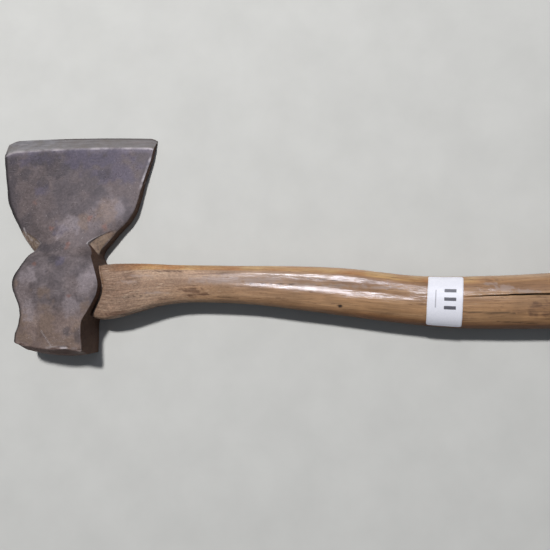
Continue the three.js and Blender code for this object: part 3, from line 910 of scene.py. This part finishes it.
def whittle(mesh):
    """Gives the haft its flats, hollow, ridge, raised grain and drying crack."""
    points, normals = points_of(mesh), normals_of(mesh)
    fibre, x = fibre_space(points), points[:, 0]
    push = swell(points) + 0.09 * fractal(fibre, (26, 2.4, 2.4), 2, 9)
    push += 0.1 * smooth_ramp(150, 60, x) * fractal(fibre, (9, 1.8, 1.8), 2, 15)
    push += shaving(points)
    push = push * smooth_ramp(30, 50, x) - crack_depth(points)
    points += normals * push[:, None]
    points[:, 2] = np.maximum(points[:, 2], 0.1)
    set_points(mesh, points)


def box_outline(half, thick):
    """Points round a rectangle: how far each one is along its width and its thickness."""
    along, over = np.linspace(-half, half, 8)[:-1], np.linspace(-thick, thick, 6)[:-1]
    wide = np.concatenate([along, np.full(len(over), half), -along, np.full(len(over), -half)])
    thin = np.concatenate([np.full(len(along), -thick), over, np.full(len(along), thick), -over])
    return wide, thin


def wedge_block(name, size, width, y, across, grow):
    """A tapered block driven in from the tenon's end; across turns its thickness into Y."""
    start = TENON_END_X - size.get("proud", 0.15) - (5 if grow else 0)
    end = TENON_END_X + size["depth"] + grow
    rings = []
    for x in np.linspace(start, end, 12):
        thick = lerp(size["thick"], size["thin"], ramp(start, end, x)) / 2 + grow
        rim = 0.0 if grow else 0.25 * (1 - ramp(0, 0.6, x - start))
        wide, thin = box_outline(width / 2 + grow - rim, thick - rim)
        off_y, off_z = (thin, -wide) if across else (wide, thin)
        rings.append(outline_at(x, y + off_y, EYE_Z + off_z))
    return loft(name, rings)


def eye_room():
    """The part of the eye that the wooden wedge may fill."""
    return loft("eye_room", [eye_ring(x, -ROOM_GAP, -ROOM_GAP) for x in (-EYE_REACH, EYE_REACH)])


def wood_block(grow=0):
    """The wooden wedge, or with grow the kerf it sits in, which runs right across the tenon."""
    width = EYE_HALF_HEIGHT * (3 if grow else 2)
    return wedge_block("wooden_wedge", WOOD_WEDGE, width, EYE_Y, False, grow)


def steel_block(name, y, grow=0):
    """A steel wedge, or with grow the slot it sits in."""
    return wedge_block(name, STEEL_WEDGE, STEEL_WEDGE["width"], y, True, grow)


def steel_slots():
    """What cuts the slots of all the steel wedges."""
    return [steel_block("slot", y, JOINT_GAP) for y in STEEL_WEDGE_YS]


# Stains and knots on the front of the haft, as (x, y, radius in x, radius in y, strength).
STAINS = [
    (127, -6.5, 10, 3.6, 0.9), (138, -8.2, 8, 1.1, 1.2), (124, -9.8, 3, 1.4, 1.3),
    (121, -3.8, 9, 1.1, 0.8), (66, 8, 6, 7, 0.45), (74, 2, 4, 3, 0.4), (96, -13, 4, 1.6, 0.6),
    (58, -25, 7, 3, 0.5), (103, 13.5, 20, 1.2, 0.6), (150, 11, 12, 0.9, 0.6), (415, -24, 12, 2, 0.5),
    (438, -22, 12, 6, 0.9), (452, -27, 9, 3, 0.9), (396, 2, 9, 3, 0.5), (446, -16, 7, 4, 0.5),
    (261.7, -19.3, 1.9, 1.1, 1.4), (440, -24, 2.2, 1.4, 1.2), (207, -12, 5, 0.9, 0.5),
    (48, -27, 6, 1.5, 0.7), (60, -24, 4, 1.2, 0.6), (36, -20, 3, 1.5, 0.6), (212, -14, 4, 0.8, 0.5),
    (305, -26, 9, 1.2, 0.4), (370, -30, 10, 2, 0.4),
]
# The small black knot, and pale grey streaks: bleached wood, and a painted sheen along the middle from
# x 150 to 300, as (x, y, radius in x, radius in y).
BLACK_KNOT = (261.7, -19.3, 2, 1.3)
ASHEN_AND_SHEEN_STREAKS = [
    (406, -3.5, 10, 2.4), (424, -6.5, 14, 1.6), (395, 0.5, 6, 1.5), (68, 3, 12, 1.4),
    (92, -7, 12, 1.1), (76, 9, 12, 1), (150, 4.5, 26, 3.2), (190, 4, 26, 2.6), (225, 0, 20, 1.6),
    (262, -1, 24, 1.6), (300, -3, 20, 1.6),
]
# Fine dark checks in the wood, as (start, end, width).
CHECKS = [
    ((369.5, -24.7), (414, -25.6), 0.8), ((88, 13), (118, 12.4), 0.45), ((180, 1.2), (226, 0.4), 0.45),
    ((60, -12), (84, -9), 0.4), ((232, 5.6), (262, 3.6), 0.45), ((400, -33), (436, -35), 0.45),
    ((470, -2), (520, -1), 0.5), ((150, -11), (168, -12), 0.4),
]


def paint_haft(mesh):
    """Stores where the haft is stained, cracked, bleached and dirty, and where shade and a sheen are
    painted on it, for its material.
    """
    points, normals = points_of(mesh), normals_of(mesh)
    x, y, z = points.T
    front = z > FRONT_Z
    paint(mesh, "fibre", fibre_space(points))
    paint(mesh, "height", haft_height(points))
    paint(mesh, "end_grain", smooth_ramp(0.55, 0.85, np.abs(normals[:, 0])))
    stains = [
        strength * spot(points, *where, 0.7, k) for k, (*where, strength) in enumerate(STAINS)
    ]
    paint(mesh, "stain", np.maximum.reduce(stains) * front)
    checks = 0.7 * sum(scratch(points, *line) for line in CHECKS)
    marks = np.maximum(checks, 1.1 * spot(points, *BLACK_KNOT, 0.3)) * front
    crack = smooth_ramp(0.15, 1.2, crack_depth(points))
    paint(mesh, "crack", np.clip(np.maximum(crack, marks), 0, 1))
    # Bleached streaks, and a painted pale sheen along the middle of the haft.
    ashen_and_sheen = [spot(points, *where, 0.6, 30) for where in ASHEN_AND_SHEEN_STREAKS]
    paint(mesh, "ashen_and_sheen", np.maximum.reduce(ashen_and_sheen) * front)
    # Painted shade: the lower flank and the underside are darkened, and dirt is laid by the head.
    flank = smooth_ramp(0.42, -0.1, normals[:, 2]) * (y < haft_middle(x))
    underside = smooth_ramp(0.15, -0.35, normals[:, 2])
    below = 0.8 * np.maximum(flank, underside) * smooth_ramp(50, 75, x)
    near_head = smooth_ramp(58, 38, x) * smooth_ramp(0, 1, 0.5 + fractal(points, 9, 2, 6))
    paint(mesh, "grime_and_shade", np.maximum(0.25 * near_head, below))


def build_haft(wood, wedge_wood, wedge_steel):
    """The haft, slotted for its wedges, and the wedges in their slots."""
    haft = loft("haft", haft_rings())
    whittle(haft.data)
    cut(haft, [wood_block(JOINT_GAP), *steel_slots()])
    paint_haft(haft.data)
    place(haft, "haft_wood", "haft", wood, 60)

    wedge = wood_block()
    cut(wedge, [eye_room()], "INTERSECT")
    cut(wedge, steel_slots())
    place(wedge, "wedge_wood", "wooden_wedge", wedge_wood, 40)
    for k, y in enumerate(STEEL_WEDGE_YS, 1):
        name = f"steel_wedge_{k}"
        place(steel_block(name, y), "wedge_steel", name, wedge_steel, 40)


# ---- The label ----

LABEL_TURNS = (21, 156)  # the angles round the haft that its two edges lie at
LABEL_SKEW = 0.07
LABEL_BARREL = 3.0  # how far its middle is drawn towards the head, as it was pulled tight
LABEL_CORNER = 2.6
LABEL_LIFT = 0.32
LABEL_PAPER = 0.16
LABEL_WIDTH = LABEL_HIGH[0] - LABEL_LOW[0] - 0.8
LABEL_X = (LABEL_HIGH[0] + LABEL_LOW[0]) / 2 + 1.9
LABEL_ROWS, LABEL_COLUMNS = 121, 49
BAR_PLACES = (-9.3, -1.8, 5.7)  # where the printed bars lie across the label
INK_BLEED = 0.12


def label_grid():
    """The label's points in rows across it, and where each one lies on the flat paper."""
    turns = np.radians(np.linspace(*LABEL_TURNS, LABEL_ROWS))
    across, up = superellipse(turns, haft_half(LABEL_X), depth_line(LABEL_X) / 2)
    run = np.concatenate([[0], np.cumsum(np.hypot(np.diff(across), np.diff(up)))])
    into_corner = LABEL_CORNER - np.minimum(np.minimum(run, run[-1] - run), LABEL_CORNER)
    inset = LABEL_CORNER - np.sqrt(LABEL_CORNER**2 - into_corner**2)
    half = LABEL_WIDTH / 2 - inset
    u = np.linspace(-half, half, LABEL_COLUMNS, axis=1)
    v = np.repeat((run - run[-1] / 2)[:, None], LABEL_COLUMNS, axis=1)
    turn, skew = turns[:, None], LABEL_SKEW * across[:, None]
    x = LABEL_X + u + skew - LABEL_BARREL * np.sin(turn) ** 1.5
    across, up = superellipse(turn, haft_half(x) + LABEL_LIFT, depth_line(x) / 2 + LABEL_LIFT)
    points = np.stack([x, haft_middle(x) + across, HAFT_MIDDLE_Z + up], axis=2)
    return points.reshape(-1, 3), np.stack([u, v, np.zeros(u.shape)], axis=2).reshape(-1, 3)


def label_sheet():
    """The label: a strip of paper with rounded corners that follows the front of the haft."""
    points, on_paper = label_grid()
    firsts = [r * LABEL_COLUMNS + c for r in range(LABEL_ROWS - 1) for c in range(LABEL_COLUMNS - 1)]
    faces = [[a, a + LABEL_COLUMNS, a + LABEL_COLUMNS + 1, a + 1] for a in firsts]
    obj = make_object("paper_label", points, faces)
    from_side = LABEL_WIDTH / 2 - np.abs(on_paper[:, 0])
    creases = 0.22 * fractal(points, 6, 2, 91) + 0.3 * fractal(points, (40, 9, 9), 1, 4)
    curl = 0.18 * smooth_ramp(3.5, 0, from_side) * (0.5 + 0.5 * noise(points, 8, 3))
    lift = np.maximum(creases * 0.35, 0) + curl + np.maximum(swell(points), 0)
    set_points(obj.data, points + normals_of(obj.data) * lift[:, None])
    paint(obj.data, "sheet", on_paper)
    paint(obj.data, "rim", smooth_ramp(1.6, 0.1, from_side))
    solid = obj.modifiers.new("paper", "SOLIDIFY")
    solid.thickness = LABEL_PAPER * MM
    solid.offset = 1
    return obj


# ---- Materials ----


def rgb(r, g, b):
    """A colour given as screen values from 0 to 255."""
    linear = [((c / 255 + 0.055) / 1.055) ** 2.4 if c > 10 else c / 255 / 12.92 for c in (r, g, b)]
    return (*linear, 1.0)


class Nodes:
    """Short names for building a material. A value is a number, a socket or the name of a painted
    layer, and a colour is a socket or three screen values."""

    def __init__(self, name):
        self.material = bpy.data.materials.new(name)
        self.material.use_nodes = True
        self.tree = self.material.node_tree
        self.tree.nodes.clear()
        self.shader = self.add("ShaderNodeBsdfPrincipled")
        output = self.add("ShaderNodeOutputMaterial")
        self.tree.links.new(self.shader.outputs[0], output.inputs[0])

    def add(self, kind, **inputs):
        """A node, with its inputs of those names filled."""
        node = self.tree.nodes.new(kind)
        for name, value in inputs.items():
            self.plug(value, node.inputs[name.replace("_", " ")])
        return node

    def plug(self, value, socket):
        if isinstance(value, str):
            value = self.attribute(value)
        if isinstance(value, bpy.types.NodeSocket):
            self.tree.links.new(value, socket)
        elif value is not None:
            socket.default_value = value

    def attribute(self, name, output="Fac"):
        node = self.add("ShaderNodeAttribute")
        node.attribute_name = name
        return node.outputs[output]

    def split(self, vector):
        return self.add("ShaderNodeSeparateXYZ", Vector=vector).outputs

    def math(self, operation, a, b=None, clamp=False):
        node = self.add("ShaderNodeMath")
        node.operation = operation
        node.use_clamp = clamp
        self.plug(a, node.inputs[0])
        self.plug(b, node.inputs[1])
        return node.outputs[0]

    def times(self, a, b):
        return self.math("MULTIPLY", a, b)

    def fade(self, value, low, high):
        """0 at low and 1 at high, smoothly."""
        node = self.add("ShaderNodeMapRange", Value=value, From_Min=low, From_Max=high)
        node.interpolation_type = "SMOOTHSTEP"
        return node.outputs["Result"]

    def place(self, scale=(1, 1, 1), source=None, turn=(0, 0, 0)):
        """The point in millimetres, stretched by scale."""
        if source is None:
            source = self.add("ShaderNodeTexCoord").outputs["Object"]
            scale = [s / MM for s in scale]
        turn = [math.radians(t) for t in turn]
        return self.add("ShaderNodeMapping", Vector=source, Scale=scale, Rotation=turn).outputs[0]

    def noise(self, where, scale=1.0, detail=3.0, rough=0.55, warp=0.0):
        return self.add(
            "ShaderNodeTexNoise", Vector=where, Scale=scale, Detail=detail, Roughness=rough,
            Distortion=warp,
        ).outputs["Fac"]

    def grain(self, stretch, source=None, detail=4, rough=0.6, warp=0.0):
        """Noise with a scale of its own along each axis."""
        return self.noise(self.place(stretch, source), 1, detail, rough, warp)

    def mix(self, share, a, b, blend="MIX"):
        node = self.add("ShaderNodeMix")
        node.data_type = "RGBA"
        node.blend_type = blend
        self.plug(share, node.inputs["Factor"])
        for colour, name in ((a, "A"), (b, "B")):
            self.plug(rgb(*colour) if isinstance(colour, tuple) else colour, node.inputs[name])
        return [s for s in node.outputs if s.type == "RGBA"][0]

    def tint(self, colour, mask, tone, share=1.0):
        """A tone laid over a colour by a share of a mask."""
        return self.mix(self.times(mask, share), colour, tone)

    def ramp(self, value, *stops):
        """Colours that pass into each other as value grows, as (value, colour)."""
        node = self.add("ShaderNodeValToRGB", Fac=value)
        elements = node.color_ramp.elements
        while len(elements) < len(stops):
            elements.new(1.0)
        for element, (at, colour) in zip(elements, stops):
            element.position = at
            element.color = rgb(*colour)
        return node.outputs["Color"]

    def greys(self, value, *stops):
        return self.ramp(value, *[(at, (grey, grey, grey)) for at, grey in stops])

    def bump(self, height, depth_mm, base=None):
        return self.add(
            "ShaderNodeBump", Height=height, Distance=depth_mm * MM, Strength=1.0, Normal=base
        ).outputs["Normal"]

    def finish(self, colour, roughness, normal, **sockets):
        """Fills the shader's inputs, the last ones with plain numbers."""
        self.plug(colour, self.shader.inputs["Base Color"])
        self.plug(roughness, self.shader.inputs["Roughness"])
        self.plug(normal, self.shader.inputs["Normal"])
        for name, value in sockets.items():
            self.shader.inputs[name.replace("_", " ")].default_value = value
        return self.material


def scratches(n):
    """Sparse fine scratches in three directions, as a mask."""
    total = 0
    for turn, scale in ((14, 0.062), (-40, 0.071), (74, 0.055)):
        streak = n.noise(n.place((0.07, 1.9, 0.4), turn=(0, 0, turn)), 1, 2, 0.5)
        patch = n.fade(n.noise(n.place(), scale, 2), 0.48, 0.6)
        total = n.math("MAXIMUM", total, n.times(n.fade(streak, 0.64, 0.72), patch))
    return total


def iron_skin(n, y, broad, fine, drift):
    """The mottled skin of the face, by turns over the poll, the eye and the blade, with the patches of
    colour that were placed on it."""
    blade = n.ramp(broad, (0.34, (84, 77, 80)), (0.5, (95, 87, 90)), (0.68, (106, 97, 99)))
    eye = n.ramp(broad, (0.34, (84, 76, 78)), (0.5, (102, 93, 95)), (0.68, (126, 116, 118)))
    poll = n.ramp(broad, (0.34, (106, 91, 86)), (0.5, (124, 107, 101)), (0.68, (144, 127, 119)))
    colour = n.mix(n.fade(y, 40, 72), eye, blade)
    colour = n.mix(n.fade(y, -12, -36), colour, poll)
    # Some of the dark patches are painted shade, and some of the pale ones a painted sheen.
    for mask, tone, share in (
        (n.fade(drift, 0.42, 0.62), (122, 106, 101), 0.28), ("blue", (87, 82, 101), 0.6),
        # The lilac strip under the heel is a painted highlight.
        ("lilac_highlight", (140, 134, 154), 0.4), ("pale", (150, 140, 144), 0.5),
        ("brown", (124, 105, 92), 0.6), ("dark", (70, 65, 70), 0.6), ("rust", (142, 98, 84), 0.45),
    ):
        colour = n.tint(colour, mask, tone, share)
    return n.mix(0.36, colour, n.greys(n.fade(fine, 0.34, 0.68), (0, 140), (1, 232)), "OVERLAY")


def facet_dust(n, x, fine):
    """The brown dust on the facets beside the neck, paler on the right one."""
    dust = n.ramp(fine, (0.35, (98, 80, 66)), (0.5, (124, 106, 92)), (0.66, (160, 144, 132)))
    return n.tint(dust, n.fade(x, 0, 20), (176, 150, 128), 0.5)


def ground_steel(n, x, broad, grind):
    """The ground bevel: grey with patches of brown, and duller towards the right."""
    bare = n.ramp(grind, (0.32, (114, 112, 115)), (0.5, (134, 132, 136)), (0.7, (156, 154, 159)))
    bare = n.tint(bare, n.fade(broad, 0.4, 0.62), (116, 110, 102), 0.5)
    return n.tint(bare, n.fade(x, -30, -5), (120, 113, 108), 0.4)


def forged_iron(name, metal):
    """Old forged iron: a mottled purple-grey skin with rust, dirt, pits and fine scratches, with
    painted shade and painted highlights laid on it.
    """
    n = Nodes(name)
    here = n.place()
    x, y, _ = n.split(here)
    broad = n.noise(here, 0.06, 5, 0.62, 0.4)
    fine = n.noise(here, 0.42, 6, 0.7)
    drift = n.noise(here, 0.03, 3, 0.5)
    grind = n.grain((0.1, 1.6, 0.3))
    lines = scratches(n)
    flecks = n.times(n.fade(n.noise(here, 0.8, 2, 0.5), 0.66, 0.72), n.fade(drift, 0.4, 0.55))
    cells = n.add("ShaderNodeTexVoronoi", Vector=here, Scale=0.5).outputs["Distance"]
    pits = n.times(n.fade(cells, 0.3, 0.14), n.fade(broad, 0.5, 0.62))
    # Rubbed wear, and the painted highlight along the heel.
    wear_and_glint = n.times("wear_and_glint", n.fade(fine, 0.2, 0.5))
    # Dark brown for the walls: dirt and painted shade.
    grime_and_shade = n.ramp(fine, (0.3, (66, 42, 28)), (0.7, (96, 66, 46)))

    colour = iron_skin(n, y, broad, fine, drift)
    for mask, tone, share in (
        (flecks, (172, 162, 164), 0.5), (pits, (74, 62, 60), 0.3), (lines, (170, 162, 164), 0.35),
        (n.times("dust", n.fade(fine, 0.25, 0.5)), facet_dust(n, x, fine), 0.95),
        # Painted highlight on the bevel above the heel.
        ("ground", ground_steel(n, x, broad, grind), 0.9), ("bevel_highlight", (168, 163, 168), 0.55),
        # Painted shade on the walls and on the poll's end, over their dirt and rust.
        ("tip", (70, 64, 62), 0.75), ("wall", grime_and_shade, 0.92), ("poll_end", (86, 52, 42), 0.85),
        # Painted shade down the left edge and in the creases.
        ("edge_shade", (40, 36, 37), 0.88), ("crease_shade", (50, 38, 32), 0.7),
        (wear_and_glint, (186, 179, 182), 0.8),
    ):
        colour = n.tint(colour, mask, tone, share)

    rough = n.math("ADD", 0.48, n.times(fine, 0.26))
    rough = n.math("ADD", rough, n.times("wall", 0.2), clamp=True)
    rough = n.math("SUBTRACT", rough, n.times(wear_and_glint, 0.12), clamp=True)
    height = n.math("SUBTRACT", n.times(fine, 0.6), n.times(pits, 0.7))
    height = n.math("SUBTRACT", height, n.times(lines, 0.3))
    height = n.math("ADD", height, n.times(n.times(grind, "ground"), 0.4))
    return n.finish(colour, rough, n.bump(height, 0.3), Metallic=metal, IOR=1.5)


def wood_base(n, x, height, bands, blotch):
    """The broad colours of the haft: grey by the head, honey towards the grip, gold across its middle,
    orange along its top edge, and painted shade darkening it along the bottom."""
    dry = n.ramp(bands, (0.32, (142, 115, 96)), (0.5, (157, 130, 110)), (0.68, (172, 146, 125)))
    honey = n.ramp(bands, (0.32, (138, 102, 70)), (0.5, (158, 122, 88)), (0.68, (176, 142, 108)))
    orange = n.ramp(blotch, (0.35, (172, 116, 70)), (0.6, (170, 136, 90)))
    gold = n.times(n.fade(height, 0.1, -0.3), n.fade(x, 80, 150))
    crown = n.times(n.times(n.fade(height, 0.66, 0.76), n.fade(x, 40, 60)), n.fade(x, 470, 340))
    # Painted shade darkening the lower edge.
    under = n.times(n.fade(height, -0.55, -0.95), n.fade(x, 120, 330))
    colour = n.mix(n.fade(x, 150, 320), dry, honey)
    for mask, tone, share in (
        (gold, (164, 125, 86), 0.55), (crown, orange, 0.85), (under, (96, 52, 20), 0.8),
        (n.fade(x, 84, 58), (118, 94, 79), 0.6),
    ):
        colour = n.tint(colour, mask, tone, share)
    return colour


def year_rings(n, fibre, grain):
    """The rings on the haft's sawn ends."""
    pith = n.add("ShaderNodeVectorMath")
    pith.operation = "DISTANCE"
    n.plug(n.place((0, 1, 1), fibre), pith.inputs[0])
    pith.inputs[1].default_value = (0, 34, -22)
    wobble = n.times(n.noise(fibre, 0.12, 3), 5)
    rings = n.math("SINE", n.times(n.math("ADD", pith.outputs["Value"], wobble), 2.4))
    rings = n.times(n.fade(rings, -0.2, 0.9), n.fade(grain, 0.3, 0.6))
    return n.mix(rings, (98, 72, 50), (134, 104, 76))


def hand_polish(n, x, height, fibre, lines, bare):
    """How much of a coat of polish each point has, and the small waves that break its gloss."""
    worn_off = n.math("ADD", 0.38, n.fade(lines, 0.42, 0.54), clamp=True)
    coat = n.times(n.times(n.fade(x, 100, 235), n.fade(x, 560, 420)), worn_off)
    coat = n.times(coat, n.math("SUBTRACT", 1, bare, clamp=True))
    coat = n.times(coat, n.fade(height, -0.85, -0.35))
    ripples = n.bump(n.grain((0.04, 0.14, 0.14), fibre, 2, 0.5), 0.35)
    waves = n.bump(n.grain((0.03, 0.6, 0.6), fibre), 0.26, ripples)
    n.plug(coat, n.shader.inputs["Coat Weight"])
    n.plug(waves, n.shader.inputs["Coat Normal"])
    return ripples


def haft_wood():
    """Old ash: grey and dry near the head, honey-brown and polished by hands towards the grip."""
    n = Nodes("haft_wood")
    fibre = n.attribute("fibre", "Vector")
    height = n.attribute("height")
    x = n.split(fibre)[0]
    bands = n.grain((0.006, 0.13, 0.13), fibre, warp=0.4)
    lines = n.grain((0.022, 0.85, 0.85), fibre, 5, 0.7)
    pores = n.grain((0.13, 1.0, 1.0), fibre, 4, 0.62)
    grain = n.grain((0.5, 0.7, 0.7), fibre, 3)
    blotch = n.grain((0.035, 0.07, 0.07), fibre, 4, 0.55)
    pore_marks = n.fade(pores, 0.6, 0.7)

    colour = wood_base(n, x, height, bands, blotch)
    colour = n.mix(0.5, colour, n.greys(blotch, (0.3, 150), (0.7, 222)), "OVERLAY")
    colour = n.mix(0.56, colour, n.greys(lines, (0.3, 130), (0.5, 188), (0.7, 226)), "OVERLAY")
    dark_lines = n.times(n.fade(lines, 0.42, 0.34), n.fade(blotch, 0.4, 0.6))
    colour = n.tint(colour, dark_lines, (92, 60, 40), 0.6)
    colour = n.tint(colour, pore_marks, (92, 62, 42), 0.62)
    fuzz = n.times(n.fade(pores, 0.42, 0.34), n.fade(x, 230, 60))
    colour = n.tint(colour, fuzz, (190, 170, 150), 0.5)
    speckle = n.greys(grain, (0.3, 140), (0.7, 232))
    colour = n.mix(n.times(n.fade(x, 260, 60), 0.5), colour, speckle, "OVERLAY")
    stain = n.math("MULTIPLY", "stain", n.fade(lines, 0.72, 0.4), clamp=True)
    for mask, tone, share in (
        # Dirt by the head and painted shade underneath; bleached streaks and a painted pale sheen.
        (stain, (78, 50, 36), 0.85), ("ashen_and_sheen", (164, 147, 141), 0.55), ("grime_and_shade", (66, 46, 32), 1),
        ("end_grain", year_rings(n, fibre, grain), 1), ("crack", (28, 18, 12), 1),
    ):
        colour = n.tint(colour, mask, tone, share)

    bare = n.math("ADD", "end_grain", "grime_and_shade")
    rough = n.math("ADD", 0.5, n.times(lines, 0.3))
    rough = n.math("ADD", rough, n.times(bare, 0.5), clamp=True)
    relief = n.math("SUBTRACT", lines, n.times(pore_marks, 0.4))
    ripples = hand_polish(n, x, height, fibre, lines, bare)
    normal = n.bump(relief, 0.3, ripples)
    return n.finish(colour, rough, normal, IOR=1.45, Coat_Roughness=0.23, Coat_IOR=1.65)


def wedge_wood():
    """Dry sawn wood, seen mostly on its end."""
    n = Nodes("wedge_wood")
    lines = n.grain((0.2, 0.9, 3.0))
    colour = n.ramp(lines, (0.3, (122, 94, 66)), (0.55, (164, 134, 100)), (0.75, (184, 156, 120)))
    dirt = n.fade(n.noise(n.place(), 0.3, 4), 0.45, 0.7)
    colour = n.tint(colour, dirt, (84, 62, 46), 0.5)
    return n.finish(colour, 0.78, n.bump(lines, 0.3), IOR=1.45)


def wedge_steel():
    """Small wedges, browned, with brighter patches."""
    n = Nodes("wedge_steel")
    fine = n.noise(n.place(), 0.9, 5, 0.65)
    colour = n.ramp(fine, (0.32, (74, 56, 46)), (0.5, (112, 98, 90)), (0.7, (146, 138, 134)))
    rough = n.math("ADD", 0.38, n.times(fine, 0.3))
    return n.finish(colour, rough, n.bump(fine, 0.2), Metallic=0.6, IOR=1.6)


def printed_box(n, u, v, middle_u, middle_v, half_u, half_v):
    """1 inside a rectangle on the label, with edges as soft as printed ink."""
    sides = []
    for at, middle, half in ((u, middle_u, half_u), (v, middle_v, half_v)):
        off = n.math("ABSOLUTE", n.math("SUBTRACT", at, middle))
        sides.append(n.fade(off, half + INK_BLEED, half - INK_BLEED))
    return n.times(*sides)


def paper():
    """A white coated sticker with plain printed bars and no lettering."""
    n = Nodes("paper")
    u, v, _ = n.split(n.attribute("sheet", "Vector"))
    grain = n.noise(n.place(), 0.8, 4, 0.6)
    colour = n.ramp(grain, (0.3, (228, 230, 243)), (0.7, (238, 239, 250)))
    soiled = n.times("rim", n.fade(grain, 0.35, 0.65))
    colour = n.tint(colour, soiled, (176, 164, 150), 0.4)
    ink = 0
    for middle_v in BAR_PLACES:
        ink = n.math("MAXIMUM", ink, printed_box(n, u, v, 4.4, middle_v, 5.2, 1.5))
    colour = n.tint(colour, n.times(ink, n.fade(grain, 0.12, 0.3)), (44, 42, 56), 0.9)
    thin = printed_box(n, u, v, -8.2, -1.8, 0.5, 8)
    colour = n.tint(colour, thin, (120, 118, 130), 0.6)
    return n.finish(colour, 0.42, n.bump(grain, 0.05), IOR=1.5)


# ---- The studio ----


def add_camera():
    """The camera, which stands where the photographer held it."""
    data = bpy.data.cameras.new("camera")
    data.sensor_width = 36
    data.lens = 36 * CAMERA_FOCAL
    data.clip_start = 0.01
    camera = add_object("camera", data)
    camera.location = [c * MM for c in CAMERA_PLACE]
    camera.rotation_euler = [math.radians(t) for t in CAMERA_TURN]
    bpy.context.scene.camera = camera


def add_floor():
    """A plain pale floor just under the axe."""
    signs = ((-1, -1), (1, -1), (1, 1), (-1, 1))
    corners = [(FLOOR_HALF * x, FLOOR_HALF * y, FLOOR_Z) for x, y in signs]
    floor = make_object("floor", corners, [[0, 1, 2, 3]])
    n = Nodes("floor")
    grain = n.noise(n.place(), 0.02, 3)
    colour = n.ramp(grain, (0.3, (200, 201, 200)), (0.7, (206, 207, 206)))
    floor.data.materials.append(n.finish(colour, 0.9, None))


def add_area(name, direction, size, power, colour, gloss):
    """A rectangular lamp that faces the axe from LAMP_DISTANCE away, and that either gloss alone
    or everything but gloss picks up."""
    data = bpy.data.lights.new(name, "AREA")
    data.shape = "RECTANGLE"
    data.size, data.size_y = size
    data.energy = power
    data.color = colour
    light = add_object(name, data)
    aim = Vector(direction).normalized()
    light.location = Vector(LAMP_AIM) + aim * LAMP_DISTANCE
    light.rotation_euler = aim.to_track_quat("Z", "Y").to_euler()
    light.visible_diffuse = not gloss
    light.visible_glossy = gloss


def add_lights():
    """A small hard lamp for the short dark shadow, a strip for the gloss, and a dim sky."""
    add_area("key", KEY_DIRECTION, KEY_SIZE, KEY_POWER, KEY_COLOUR, gloss=False)
    add_area("gleam", GLEAM_DIRECTION, GLEAM_SIZE, GLEAM_POWER, GLEAM_COLOUR, gloss=True)
    world = bpy.data.worlds.new("studio")
    world.use_nodes = True
    background = world.node_tree.nodes["Background"]
    background.inputs["Color"].default_value = SKY_COLOUR
    background.inputs["Strength"].default_value = SKY_STRENGTH
    bpy.context.scene.world = world
    bpy.context.scene.view_settings.view_transform = "Standard"


# ---- The axe ----

add_camera()
add_floor()
add_lights()
build_head(forged_iron("forged_iron", 0.25), forged_iron("edge_steel", 0.3))
build_haft(haft_wood(), wedge_wood(), wedge_steel())
place(label_sheet(), "paper", "paper_label", paper())
